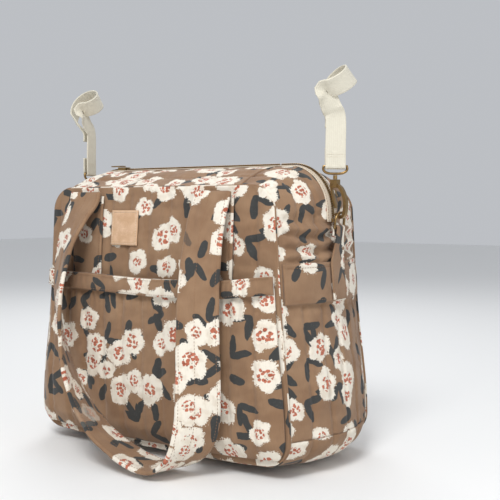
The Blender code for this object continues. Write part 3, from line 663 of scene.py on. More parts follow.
def pathObject(name, paths):
    curve = bpy.data.curves.new(name, "CURVE")
    curve.dimensions = "3D"
    for points in paths:
        spline = curve.splines.new("POLY")
        spline.points.add(len(points) - 1)
        for target, p in zip(spline.points, points):
            target.co = (*p, 1.0)
    obj = bpy.data.objects.new(name, curve)
    bpy.context.scene.collection.objects.link(obj)
    return obj


def alongPathTree():
    # copies of a small bar along each path, with the bar's length, width, height and spacing as inputs
    tree = bpy.data.node_groups.new("bars_along_path", "GeometryNodeTree")
    face = tree.interface
    face.new_socket("Geometry", in_out="INPUT", socket_type="NodeSocketGeometry")
    ids = {}
    for label, kind in (("Spacing", "Float"), ("Length", "Float"), ("Width", "Float"), ("Height", "Float"),
                        ("Tilt", "Float"), ("Seed", "Int"), ("Material", "Material")):
        ids[label] = face.new_socket(label, in_out="INPUT", socket_type="NodeSocket" + kind).identifier
    face.new_socket("Geometry", in_out="OUTPUT", socket_type="NodeSocketGeometry")

    def add(kind, inputs, **settings):
        made = tree.nodes.new(kind)
        for key, value in settings.items():
            setattr(made, key, value)
        for key, value in inputs.items():
            if isinstance(value, bpy.types.NodeSocket):
                tree.links.new(value, made.inputs[key])
            else:
                made.inputs[key].default_value = value
        return made.outputs

    given = add("NodeGroupInput", {})
    points = add("GeometryNodeCurveToPoints", {"Curve": given["Geometry"], "Length": given["Spacing"]},
                 mode="LENGTH")
    bar = add("GeometryNodeMeshUVSphere", {"Segments": 6, "Rings": 5, "Radius": 0.5})
    size = add("ShaderNodeCombineXYZ", {0: given["Width"], 1: given["Height"], 2: given["Length"]})
    shaped = add("GeometryNodeTransform", {"Geometry": bar["Mesh"], "Scale": size[0]})
    dice = add("FunctionNodeRandomValue", {"Seed": given["Seed"], 2: -0.06, 3: 0.06}, data_type="FLOAT")
    total = add("ShaderNodeMath", {0: given["Tilt"], 1: dice[1]}, operation="ADD")
    turn = add("FunctionNodeAxisAngleToRotation", {"Axis": (0.0, 1.0, 0.0), "Angle": total[0]})
    leaning = add("FunctionNodeRotateRotation", {"Rotation": points["Rotation"], "Rotate By": turn[0]},
                  rotation_space="LOCAL")
    copies = add("GeometryNodeInstanceOnPoints",
                 {"Points": points["Points"], "Instance": shaped[0], "Rotation": leaning[0]})
    real = add("GeometryNodeRealizeInstances", {0: copies[0]})
    smoothed = add("GeometryNodeSetShadeSmooth", {0: real[0]})
    paint = add("GeometryNodeSetMaterial", {"Geometry": smoothed[0], "Material": given["Material"]})
    add("NodeGroupOutput", {0: paint[0]})
    return tree, ids


barTree, barIds = alongPathTree()


stitching = {
    # look, spacing, length, width, height, tilt, seed
    "hem": ("thread", 0.0034, 0.0024, 0.0007, 0.0005, 0.0, 3),
    "label": ("creamThread", 0.0030, 0.0021, 0.0006, 0.0005, 0.0, 5),
    "strips": ("thread", 0.0034, 0.0024, 0.0007, 0.0005, 0.0, 7),
    "handle": ("thread", 0.0036, 0.0025, 0.0007, 0.0005, 0.0, 9),
    "endTape": ("thread", 0.0031, 0.0022, 0.0006, 0.0004, 0.0, 11),
    "flapTape": ("thread", 0.0031, 0.0022, 0.0006, 0.0004, 0.0, 13),
    "band": ("thread", 0.0038, 0.0026, 0.0008, 0.0006, 0.0, 15),
    "strap": ("creamThread", 0.0024, 0.0019, 0.0006, 0.0005, 0.0, 17),
    "fray": ("creamThread", 0.0005, 0.0032, 0.00022, 0.00022, math.pi / 2, 19),
    "tab": ("thread", 0.0036, 0.0025, 0.0007, 0.0005, 0.0, 21),
}


def barsAlong(name, paths, kind, body, slotName):
    # stitches, or loose fibres, along each path
    look, *sizes = stitching[kind]
    source = pathObject(name + "_path", paths)
    modifier = source.modifiers.new("bars", "NODES")
    modifier.node_group = barTree
    modifier[barIds["Material"]] = looks[look]
    for label, value in zip(("Spacing", "Length", "Width", "Height", "Tilt", "Seed"), sizes):
        modifier[barIds[label]] = value
    bpy.context.view_layer.update()
    mesh = bpy.data.meshes.new_from_object(source.evaluated_get(bpy.context.evaluated_depsgraph_get()))
    mesh.name = name
    markCloth(mesh, [value for vertex in mesh.vertices for value in vertex.co])
    obj = bpy.data.objects.new(name, mesh)
    bpy.context.scene.collection.objects.link(obj)
    bpy.data.objects.remove(source)
    finished(obj, body, slotName)


def finished(obj, body, slotName, *nodes):
    if nodes:
        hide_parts(*nodes)
    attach(obj, body)


panelSize = {"columns": 150, "rows": 116}


def panelLevels(low, high, steps):
    # finer where the corners turn
    levels = []
    for share in spread(0, 1, steps):
        levels.append(low + (high - low) * (share - 0.035 * math.sin(4 * math.pi * share) / 2))
    return levels


def edgeEase(x, z):
    # 0 at the seam, 1 inside it
    return smooth(panelHalf(z) - abs(x), 0.0, 0.014) * smooth(z - bag["baseSeam"], 0.0, 0.014) \
        * smooth(bag["topSeam"] - z, 0.0, 0.014)


def upperFolds(x, z):
    # slack in the cloth above the pocket and beside the handles
    lift = 0.0
    lift -= 0.0016 * dent(z - 0.246 - 0.05 * (x - 0.13), 0.004) * smooth(x, 0.105, 0.135)
    lift -= 0.0013 * dent(z - 0.222 + 0.10 * (x - 0.14), 0.004) * smooth(x, 0.110, 0.140)
    lift += 0.0012 * dent(z - 0.234 - 0.03 * (x - 0.13), 0.006) * smooth(x, 0.105, 0.135)
    lift -= 0.0010 * dent(z - 0.286 + 0.06 * x, 0.005)
    return lift


def panelLift(x, z, seed):
    ease = edgeEase(x, z)
    return ease * (channels(x + 0.007, z) + crumpled(x, seed, z) + upperFolds(x, z)) - 0.0006 * (1 - ease)


def makePanel(name, node, seed, back):
    outer, inner = [], []
    for z in panelLevels(bag["baseSeam"], bag["topSeam"], panelSize["rows"]):
        half = panelHalf(z)
        across = [half * math.sin(math.pi / 2 * s) * 0.35 + half * s * 0.65
                  for s in spread(-1, 1, panelSize["columns"])]
        outer.append([settle(panelFace(x, z, panelLift(x, z, seed))) for x in across])
        inner.append([settle(panelFace(x, z, bag["air"] - bag["quilt"])) for x in across])
    if back:
        outer, inner = flipY(outer), flipY(inner)
    cloths = [[(p.x + seed, p.z) for p in row] for row in outer]
    obj = shellPiece(name, inner, outer, "print", cloths)
    finished(obj, "bag_shell", "quilted_print", node)


makePanel("quilted_front", "front_panel", 0.413, False)
makePanel("quilted_back", "back_panel", 1.871, True)
print("panels made")


gusset = {"across": 84, "pitch": 0.0283}


def sideFolds(y, z):
    # the cloth puckers above the band, and creases higher up
    slack = smooth(z, 0.224, 0.230) * (1 - smooth(z, 0.262, 0.276))
    lift = 0.0030 * slack * math.sin((z - 0.226) * 2 * math.pi / 0.0165 + 9 * y + 2.2 * wave(y, 0, z, 22))
    lift += 0.0016 * slack * wave(y, 3, z, 60)
    lift -= 0.0022 * dent(z - 0.2795 - 0.08 * y, 0.0045)
    lift -= 0.0018 * dent(z - 0.176 + 0.06 * y, 0.004)
    lift -= 0.0010 * dent(z - 0.120 - 0.10 * y, 0.006)
    return lift * smooth(bag["depth"] - abs(y), 0.0, 0.012)


def gussetLift(station, y, seed):
    z = station[1]
    ease = smooth(bag["depth"] - abs(y), 0.0, 0.012)
    band = smooth(z, 0.1775, 0.1805) * (1 - smooth(z, 0.2245, 0.2275))
    free = 1 - max(band, smooth(z, 0.268, 0.276) * (1 - smooth(abs(y), 0.011, 0.017)))
    puff = channels(y, z, gusset["pitch"]) + crumpled(y, seed, z) + sideFolds(y, z)
    return ease * free * puff - 0.0004 * (1 - ease)


def makeGusset(name, node, stations, seed, flip, offset):
    shares = [0.7 * s + 0.3 * math.sin(math.pi / 2 * s) for s in spread(-1, 1, gusset["across"])]
    levels = [bag["depth"] * share for share in shares]
    outer, inner = [], []
    for station in stations:
        outer.append([settle(gussetPoint(station, y, gussetLift(station, y, seed))) for y in levels])
        inner.append([settle(gussetPoint(station, y, bag["air"] - bag["quilt"])) for y in levels])
    if flip:
        outer, inner = flipX(outer), flipX(inner)
    obj = shellPiece(name, inner, outer, "print", None, offset)
    finished(obj, "bag_shell", "quilted_print", node)


def endStations(low, lowSteps, topSteps):
    # up the side from low, round the top corner and in to the flap's end
    up = sideStations(low, topLevel, lowSteps)[:-1]
    corner = arcStations(topX, topLevel, bag["topCorner"], 0, 90, 26)
    return up + corner + topStations(topX, bag["flapHalf"] + bag["flapGap"], topSteps)[1:]


sidePath = endStations(baseLevel + bag["flapGap"], 104, 6)
makeGusset("side_gusset_right", "right_gusset", sidePath, 2.31, False, (0.62, 0.21))
makeGusset("side_gusset_left", "left_gusset", sidePath, 4.77, True, (1.37, 0.58))
underPath = arcStations(baseX, baseLevel, bag["baseCorner"], 270, 360, 22)
leftPath = [(-x, z, -nx, nz) for x, z, nx, nz in reversed(underPath)]
middlePath = [(x, bag["baseSeam"], 0.0, -1.0) for x in spread(-baseX, baseX, 90)[1:-1]]
makeGusset("quilted_base", "base_gusset", leftPath + middlePath + underPath, 6.13, False, (2.11, 0.33))
print("gussets made")


zipper = {"tape": 0.0105, "tapeThickness": 0.001, "lift": 0.0003, "teethLift": 0.0016, "teethHeight": 0.0022,
          "pitch": 0.0027, "end": 0.270, "stop": 0.004,
          # a tooth's steps from its root to its tip: reach, half width, low and high
          "tooth": ((0.0026, 0.00046, -0.0010, 0.0003), (0.0012, 0.00050, -0.0010, 0.0008),
                    (0.0002, 0.00062, -0.0010, 0.0010), (-0.00050, 0.00040, -0.0008, 0.0008))}


def makeFlap(side):
    outer, inner = [], []
    levels = [-bag["depth"] + (bag["depth"] - 0.0006) * s for s in spread(0, 1, 40)]
    for station in topStations(bag["flapHalf"], -bag["flapHalf"], 110):
        x = station[0]
        row = []
        for y in levels:
            free = smooth(y + bag["depth"], 0.0, 0.012) * smooth(-y, zipper["tape"], 0.016)
            free *= smooth(bag["flapHalf"] - abs(x), 0.0, 0.006)
            fold = -0.0016 * dent(y + 0.052 - 0.03 * x, 0.005) + 0.0010 * dent(y + 0.036 + 0.02 * x, 0.008)
            puff = channels(y, x, gusset["pitch"]) + crumpled(x, y, 7.7) + fold
            row.append(gussetPoint(station, y, free * puff))
        outer.append(row)
        inner.append([gussetPoint(station, y, bag["air"] - bag["quilt"]) for y in levels])
    if side == "back":
        outer, inner = flipY(outer), flipY(inner)
    offset = (3.3 if side == "front" else 4.1, 0.2)
    obj = shellPiece("quilted_" + side + "_flap", inner, outer, "print", None, offset)
    finished(obj, side + "_flap", "quilted_print", side + "_flap")


makeFlap("front")
makeFlap("back")
print("flaps made")


pocket = {"low": 0.020, "top": 0.207, "gap": 0.010, "thickness": 0.0035, "inset": 0.004, "rise": 0.022,
          "hem": 0.020, "hemThickness": 0.002, "elastic": 0.0012}


def pocketLift(x, z):
    half = panelHalf(z) - pocket["inset"]
    edge = min(1.0, max(0.0, half - abs(x)) / pocket["rise"])
    rise = min(1.0, max(0.0, z - pocket["low"]) / pocket["rise"])
    return bag["gap"] + pocket["gap"] * math.sin(math.pi / 2 * edge) * math.sin(math.pi / 2 * rise)


def mouthShift(x):
    # the mouth sags in the middle and is pulled up at its right end
    ends = 0.0052 * smooth(x, 0.110, 0.172) + 0.0022 * smooth(-x, 0.10, 0.17)
    return ends - 0.0030 * dent(x - 0.02, 0.075)


def pocketPoint(x, z, lift):
    drawnIn = 0.40 + 0.60 * smooth(panelHalf(z) - pocket["inset"] - abs(x), 0.0, 0.012)
    base = panelFace(x, z, pocketLift(x, z) + lift * drawnIn)
    base.z += mouthShift(x) * smooth(z, 0.10, 0.19)
    return settle(base)


def pocketAcross(z):
    half = panelHalf(z) - pocket["inset"]
    return [half * (0.55 * math.sin(math.pi / 2 * s) + 0.45 * s) for s in spread(-1, 1, 168)]


def makePocket():
    outer, inner = [], []
    levels = [pocket["low"] + 0.02 * s ** 1.5 for s in spread(0, 1, 14)]
    levels += spread(pocket["low"] + 0.02, pocket["top"], 74)[1:]
    for z in levels:
        high, low = [], []
        for x in pocketAcross(z):
            half = panelHalf(z) - pocket["inset"]
            ease = smooth(half - abs(x), 0.0, 0.012) * smooth(z - pocket["low"], 0.0, 0.012)
            under = 1 - smooth(z, 0.1845, 0.1875)
            gather = 0.0011 * math.sin(x * 640 + 5 * wave(x, 0, 0, 30)) * smooth(z, 0.150, 0.184)
            lift = ease * under * (channels(x + 0.002, z) + crumpled(x, 9.1, z, 0.0013) + gather)
            high.append(pocketPoint(x, z, pocket["thickness"] + lift))
            low.append(pocketPoint(x, z, bag["air"]))
        outer.append(high)
        inner.append(low)
    cloths = [[(p.x + 5.21, p.z + 0.3) for p in row] for row in outer]
    obj = shellPiece("gathered_pocket", inner, outer, "print", cloths)
    finished(obj, "bag_shell", "quilted_print", "front_pocket")


def makeHem():
    outer, inner = [], []
    lift = pocket["thickness"] + bag["gap"] + pocket["elastic"] + 2 * bag["gap"]
    for s in spread(0, 1, 22):
        z = pocket["top"] - pocket["hem"] * (1 - s)
        high, low = [], []
        for x in pocketAcross(z):
            right = smooth(x, 0.09, 0.15)
            crown = math.sin(math.pi * s)
            gather = (0.0003 + 0.0006 * right) * math.sin(x * 760 + 6 * wave(x, 1, 0, 25)) * crown
            puff = 0.0014 * crown ** 0.6 + 0.0006 * wave(x, 2, s * 0.01, 70)
            high.append(pocketPoint(x, z, lift + pocket["hemThickness"] + puff + gather))
            low.append(pocketPoint(x, z, lift))
        outer.append(high)
        inner.append(low)
    cloths = [[(p.x + 6.37, p.z) for p in row] for row in outer]
    obj = shellPiece("gathered_hem", inner, outer, "print", cloths)
    finished(obj, "bag_shell", "quilted_print", "pocket_hem")
    rim = []
    for z, extra in ((pocket["top"] - pocket["hem"] + 0.0022, 0.0016), (pocket["top"] - 0.0020, 0.0015)):
        rim.append([pocketPoint(x, z, lift + pocket["hemThickness"] + extra) for x in pocketAcross(z)[3:-3]])
    barsAlong("hem_stitches", rim, "hem", "bag_shell", "quilted_print")


def makeElastic():
    low = pocket["top"] - pocket["hem"] / 2 - 0.004
    under = pocket["thickness"] + bag["gap"]
    outer, inner = [], []
    for z in spread(low, low + 0.008, 6):
        outer.append([pocketPoint(x, z, under + pocket["elastic"]) for x in pocketAcross(z)])
        inner.append([pocketPoint(x, z, under) for x in pocketAcross(z)])
    obj = shellPiece("mouth_elastic", inner, outer, "elastic")
    finished(obj, "bag_shell", "elastic", "pocket_elastic")


makePocket()
makeHem()
makeElastic()
print("pocket made")


label = {"x": -0.041, "z": 0.262, "size": 0.042, "thickness": 0.0018, "border": 0.0030, "radius": 0.002}


def makeLabel():
    half = label["size"] / 2
    outer, inner = [], []
    for v in spread(-half, half, 60):
        high, low = [], []
        for u in spread(-half, half, 60):
            x, z = label["x"] + u, label["z"] + v
            rim = min(half - abs(u), half - abs(v))
            press = -0.00035 * dent(rim - label["border"], 0.0006)
            broken = 0.4 + 0.6 * smooth(abs(u) - abs(v) * 0.2, 0.001, 0.004)
            press -= 0.00025 * dent(math.hypot(u, v) - 0.0085, 0.0007) * broken
            press -= 0.00025 * dent(v, 0.0005) * smooth(0.0062 - abs(u), 0, 0.002)
            edge = -0.0007 * (1 - smooth(rim, 0.0, 0.0011))
            high.append(settle(panelFace(x, z, bag["gap"] + label["thickness"] + press + edge)))
            low.append(settle(panelFace(x, z, bag["gap"])))
        outer.append(high)
        inner.append(low)
    obj = shellPiece("pressed_label", inner, outer, "leather")
    finished(obj, "bag_shell", "label_leather", "leather_label")
    inset = half - 0.0021
    corners = [(-inset, -inset), (inset, -inset), (inset, inset), (-inset, inset), (-inset, -inset)]
    path = []
    for (u0, v0), (u1, v1) in zip(corners, corners[1:]):
        for s in spread(0, 1, 12)[:-1]:
            path.append(panelFace(label["x"] + u0 + (u1 - u0) * s, label["z"] + v0 + (v1 - v0) * s,
                                  bag["gap"] + label["thickness"] + 0.0001))
    barsAlong("label_stitches", [path], "label", "bag_shell", "label_leather")


makeLabel()


handle = {"spread": 0.098, "shift": -0.005, "width": 0.050, "thickness": 0.005, "fold": 0.3045,
          "foldY": -0.0977, "stripLow": 0.184, "stripTop": 0.3000, "strip": 0.0025,
          "wobble": 0.0009, "lumps": 0.0004}


def makeStrips():
    rows = {"front": [], "back": []}
    for sideName, sign in (("left", -1), ("right", 1)):
        centre = handle["shift"] + sign * handle["spread"]
        half = handle["width"] / 2
        for face in ("front", "back"):
            outer, inner = [], []
            for z in spread(handle["stripLow"], handle["stripTop"], 66):
                high, low = [], []
                for u in spread(-half, half, 36):
                    rim = smooth(half - abs(u), 0.0, 0.0016)
                    sewn = -0.0005 * dent(half - abs(u) - 0.004, 0.0011)
                    swell = 0.0007 * wave(u, centre, z, 55) * rim
                    lift = bag["gap"] + handle["strip"] * (0.55 + 0.45 * rim) + sewn + swell
                    high.append(panelFace(centre + u, z, lift))
                    low.append(panelFace(centre + u, z, bag["gap"]))
                outer.append(high)
                inner.append(low)
            if face == "back":
                outer, inner = flipY(outer), flipY(inner)
            name = face + "_" + sideName
            cloths = [[(p.x + (7.9 if face == "front" else 8.8), p.z + 0.4) for p in row] for row in outer]
            obj = shellPiece(name + "_sewn_strip", inner, outer, "print", cloths)
            finished(obj, "bag_shell", "quilted_print", name + "_handle_strip")
            for u in (-half + 0.004, half - 0.004):
                line = [panelFace(centre + u, z, bag["gap"] + handle["strip"] - 0.0002)
                        for z in spread(handle["stripLow"] + 0.003, handle["stripTop"] - 0.002, 40)]
                if face == "back":
                    line = [mirrorY(p) for p in line]
                rows[face].append(line)
    barsAlong("strip_stitches", rows["front"] + rows["back"], "strips", "bag_shell", "quilted_print")


def handlePath():
    right, left = handle["shift"] + handle["spread"], handle["shift"] - handle["spread"]
    # sideways, forward and down from the fold, and the turn of the band
    hang = [
        (right, 0.000, 0.000, 0), (right - 0.001, 0.015, 0.043, 4), (right + 0.002, 0.029, 0.097, 12),
        (right + 0.007, 0.038, 0.161, 20), (right + 0.011, 0.043, 0.214, 30),
        (right + 0.011, 0.045, 0.251, 42), (right + 0.003, 0.047, 0.279, 58),
        (right - 0.014, 0.048, 0.298, 72), (right - 0.041, 0.049, 0.3075, 84),
        (right - 0.085, 0.049, 0.299, 96), (right - 0.134, 0.049, 0.274, 108),
        (left + 0.023, 0.047, 0.2285, 120), (left + 0.001, 0.043, 0.183, 131),
        (left - 0.012, 0.037, 0.130, 142), (left - 0.015, 0.024, 0.070, 155),
        (left - 0.006, 0.012, 0.030, 168), (left - 0.0003, 0.0045, 0.012, 178), (left, 0.000, 0.000, 180),
    ]
    places = [(x, handle["foldY"] - forward, handle["fold"] - down) for x, forward, down, _ in hang]
    centres = pathThrough(places, 10)
    turns = pathThrough([(turn, 0.0, 0.0) for *_, turn in hang], 10)
    out = []
    for i, centre in enumerate(centres):
        ahead = centres[min(i + 1, len(centres) - 1)]
        behind = centres[max(i - 1, 0)]
        along = (ahead - behind).normalized()
        turn = math.radians(turns[i].x)
        side = Vector((math.cos(turn), math.sin(turn), 0.0))
        out.append((centre, (side - along * side.dot(along)).normalized()))
    return out


def makeHandles():
    front = handlePath()
    back = [(mirrorY(centre), mirrorY(side)) for centre, side in front]
    for face, stations, offset in (("front", front, (9.6, 0.15)), ("back", back, (10.7, 0.45))):
        obj = bandPiece(face + "_carrying_handle", stations, handle["width"], handle["thickness"], "print",
                        offset, 24, handle["wobble"], handle["lumps"])
        finished(obj, face + "_handle", "quilted_print", face + "_handle")
        lines = []
        half = handle["width"] / 2
        for u in (-half + 0.0038, -half * 0.12, half - 0.0038):
            for sign in (-1, 1):
                line = []
                length = 0.0
                for i in range(1, len(stations) - 1):
                    centre, side = stations[i]
                    length += (centre - stations[i - 1][0]).length
                    along = (stations[i + 1][0] - stations[i - 1][0]).normalized()
                    out = side.cross(along).normalized()
                    bend = bandBend(u, length, handle["wobble"], handle["lumps"])
                    lift = sign * handle["thickness"] / 2 + bend
                    line.append(centre + side * (u + 0.4 * bend) + out * lift)
                lines.append(line)
        barsAlong(face + "_handle_stitches", lines, "handle", face + "_handle", "quilted_print")


makeStrips()
makeHandles()
print("handles made")


endPath = endStations(zipper["end"], 8, 5)


def tapeEdge(stations, y, turn):
    lift = zipper["lift"] + zipper["tapeThickness"] + 0.0001
    return [turn(gussetPoint(station, y, lift)) for station in stations]


def tapePiece(name, stations, levels, body, node, flip, offset):
    low, high = zipper["lift"], zipper["lift"] + zipper["tapeThickness"]
    outer = [[gussetPoint(s, y, high) for y in levels] for s in stations]
    inner = [[gussetPoint(s, y, low) for y in levels] for s in stations]
    if flip:
        outer, inner = flip(outer), flip(inner)
    obj = shellPiece(name, inner, outer, "tape", None, offset)
    finished(obj, body, "zip_tape", node)


def toothMesh(name, stations, turn, sides, body, node):
    middle = zipper["teethLift"] + zipper["teethHeight"] / 2
    line = [gussetPoint(s, 0.0, middle) for s in stations]
    fine = [line[0]]
    gap = zipper["pitch"] / 2
    left = gap
    for a, b in zip(line, line[1:]):
        span = (b - a).length
        at = left
        while at <= span:
            fine.append(a.lerp(b, at / span))
            at += gap
        left = at - span
    points, faces = [], []
    for i, p in enumerate(fine[1:-1], 1):
        sign = 1 if i % 2 else -1
        if sign not in sides:
            continue
        along = (fine[i + 1] - fine[i - 1]).normalized()
        out = Vector((0, 1, 0)).cross(along).normalized()
        if out.z < 0 or (abs(out.z) < 0.3 and out.x < 0):
            out = -out
        start = len(points)
        for reach, half, low, high in zipper["tooth"]:
            limit = max(reach, 0.00012) if len(sides) == 1 else reach
            for w, h in ((-half, low), (half, low), (half, high), (-half, high)):
                q = p + along * w + out * h
                points.append(turn(Vector((q.x, sign * limit, q.z))))
        for ring in range(3):
            for k in range(4):
                a, b = start + ring * 4 + k, start + ring * 4 + (k + 1) % 4
                faces.append((a, b, b + 4, a + 4))
        faces.append((start, start + 1, start + 2, start + 3))
        faces.append((start + 15, start + 14, start + 13, start + 12))
    obj = addMesh(name, points, faces, "teeth", None, False)
    recalc(obj)
    finished(obj, body, "antique_brass", node)


def makeZip():
    wide = spread(-zipper["tape"], zipper["tape"], 16)
    sewn = zipper["tape"] - 0.0020
    plain = topStations(bag["flapHalf"], -bag["flapHalf"], 60)
    teethPath = sideStations(zipper["end"] + zipper["stop"] + 0.0003, topLevel, 8)[:-1] + endPath[8:]
    for side, flip, turn in (("right", None, sameSide), ("left", flipX, mirrorX)):
        tapePiece(side + "_woven_tape", endPath, wide, "bag_shell", side + "_zip_tape", flip, (0.3, 0.0))
        toothMesh(side + "_brass_teeth", teethPath, turn, (-1, 1), "bag_shell", side + "_zip_teeth")
        edges = [tapeEdge(endPath[1:], y, turn) for y in (-sewn, sewn)]
        barsAlong(side + "_tape_stitches", edges, "endTape", "bag_shell", "zip_tape")
    half = spread(-zipper["tape"], -0.0006, 9)
    for side, flip, turn in (("front", None, sameSide), ("back", flipY, mirrorY)):
        tapePiece(side + "_woven_tape", plain, half, side + "_flap", side + "_zip_tape", flip, (0.7, 0.0))
        toothMesh(side + "_brass_teeth", plain, turn, (-1,), side + "_flap", side + "_zip_teeth")
        edge = tapeEdge(plain[1:-1], -sewn, turn)
        barsAlong(side + "_tape_stitches", [edge], "flapTape", side + "_flap", "zip_tape")


makeZip()
print("zip made")


seam = {"radius": 0.0011, "outside": 0.0026}


def makeSeams():
    outline = [(panelHalf(z), z) for z in spread(baseLevel, topLevel, 60)]
    outline += [(x, z) for x, z, *_ in arcStations(topX, topLevel, bag["topCorner"], 0, 90, 16)[1:]]
    side = outline + [(x, bag["topSeam"]) for x in spread(topX, -topX, 80)[1:-1]]
    side += [(-x, z) for x, z in reversed(outline)]
    corner = [(x, z) for x, z, *_ in arcStations(baseX, baseLevel, bag["baseCorner"], 270, 360, 12)[:-1]]
    side += [(-x, z) for x, z in reversed(corner)]
    side += [(x, bag["baseSeam"]) for x in spread(-baseX, baseX, 80)[1:-1]]
    side += corner
    for name, sign, seed in (("front", -1, 1.3), ("back", 1, 2.6)):
        points = [settle(Vector((x, sign * (bag["depth"] + seam["outside"]), z))) for x, z in side]
        obj = tubePiece(name + "_seam_piping", points, seam["radius"], "print", 8)
        places = [(v.co.x + seed, v.co.z + v.co.y, 0.0) for v in obj.data.vertices]
        markCloth(obj.data, [value for place in places for value in place])
        finished(obj, "bag_shell", "quilted_print")


band = {"low": 0.180, "height": 0.045, "thickness": 0.002}


def makeBands():
    levels = [bag["depth"] * 0.97 * s for s in spread(-1, 1, 84)]
    top = band["low"] + band["height"]
    stations = sideStations(band["low"], top, 34)
    for side, flip, sign in (("right", None, 1), ("left", flipX, -1)):
        outer, inner = [], []
        for station in stations:
            z = station[1]
            share = (z - band["low"]) / band["height"]
            high, low = [], []
            for y in levels:
                bow = 0.0012 * math.sin(math.pi * share) + 0.0007 * wave(y, sign * 3, z, 50)
                rim = -0.0008 * (1 - smooth(min(z - band["low"], top - z), 0, 0.0012))
                tab = 1 - smooth(0.0175 - abs(y), 0.0, 0.003)
                sewn = -0.0005 * dent(top - z - 0.005, 0.0012)
                lift = bag["gap"] + band["thickness"] + rim + sewn + bow * tab
                high.append(settle(gussetPoint(station, y, lift)))
                low.append(settle(gussetPoint(station, y, bag["gap"])))
            outer.append(high)
            inner.append(low)
        if flip:
            outer, inner = flip(outer), flip(inner)
        obj = shellPiece(side + "_sewn_band", inner, outer, "print", None, (11.3 if sign > 0 else 12.4, 0.1))
        finished(obj, "bag_shell", "quilted_print", side + "_side_band")
        lines = []
        for z in (top - 0.005, band["low"] + 0.004):
            line = []
            for y in levels[3:-3]:
                lift = bag["gap"] + band["thickness"] + bag["air"]
                p = settle(gussetPoint((seamHalf(z), z, 1.0, 0.0), y, lift))
                line.append(Vector((sign * p.x, p.y, p.z)))
            lines.append(line)
        barsAlong(side + "_band_stitches", lines, "band", "bag_shell", "quilted_print")


metal = {"radius": 0.0015, "barX": 0.19850099, "barZ": 0.2630, "half": 0.0105, "height": 0.0175,
         "lean": 0.0025, "strapRingLow": 0.32485, "strapRingHalf": 0.0152, "strapRingSide": 0.72}
tab = {"width": 0.030, "loopWidth": 0.0164, "thickness": 0.002, "low": 0.182, "radius": 0.0028}


def makeTabs():
    onBand = band["thickness"] + 3 * bag["gap"] + tab["thickness"] / 2
    bandTop = band["low"] + band["height"]
    line = [(seamHalf(z) + sideBulge(z) + onBand, z) for z in spread(tab["low"], bandTop, 5)]
    line = [(settle(Vector((x, 0.0, z))).x, z) for x, z in line]
    sewnX, loopX = line[-1][0], metal["barX"] + tab["radius"]
    for s in (0.33, 0.66):
        line.append((sewnX + (loopX - sewnX) * s, bandTop + (metal["barZ"] - bandTop) * s))
    for angle in spread(0, math.pi, 12):
        across, up = math.cos(angle), math.sin(angle)
        line.append((metal["barX"] + tab["radius"] * across, metal["barZ"] + tab["radius"] * up))
    line.append((metal["barX"] - tab["radius"], metal["barZ"] - 0.009))
    for side, sign in (("right", 1), ("left", -1)):
        dense = pathThrough([(sign * x, 0.0, z) for x, z in line], 4)
        stations = [(p, Vector((0, 1, 0))) for p in dense]
        obj = bandPiece(side + "_sewn_tab", stations, tab["width"], tab["thickness"], "print",
                        (13.4, 0.6), 18, 0.0, 0.0003)
        for vertex in obj.data.vertices:
            share = smooth(vertex.co.z, bandTop - 0.004, metal["barZ"] - 0.006)
            vertex.co.y *= 1 + (tab["loopWidth"] / tab["width"] - 1) * share
        finished(obj, "bag_shell", "quilted_print", side + "_ring_tab")
        lines = []
        for y in (-0.0125, 0.0125):
            lines.append([Vector((p.x + sign * (tab["thickness"] / 2 + 0.0001), y, p.z)) for p in dense
                          if p.z < bandTop + 0.003 and abs(p.x) > 0.19][:20])
        barsAlong(side + "_tab_stitches", lines, "tab", "bag_shell", "quilted_print")


makeBands()
makeTabs()
makeSeams()
print("side bands made")


strap = {"width": 0.0235, "thickness": 0.0018, "length": 0.054, "tail": 0.021, "bar": 0.0205, "rise": 0.018,
         "setback": 0.006, "start": -72.0, "end": 205.0, "shift": 0.028,
         "yaw": {"right": 36.0, "left": 105.0}, "push": (0.20, 0.70, -0.65), "x": 0.19350099, "z": 0.33335}


def strapFrame(side, sign):
    # along the ring's bar, square to it, and the middle of the bar
    yaw = math.radians(strap["yaw"][side])
    across = Vector((math.cos(yaw), math.sin(yaw), 0.0))
    return across, Vector((-across.y, across.x, 0.0)), Vector((sign * strap["x"], 0.0, strap["z"]))


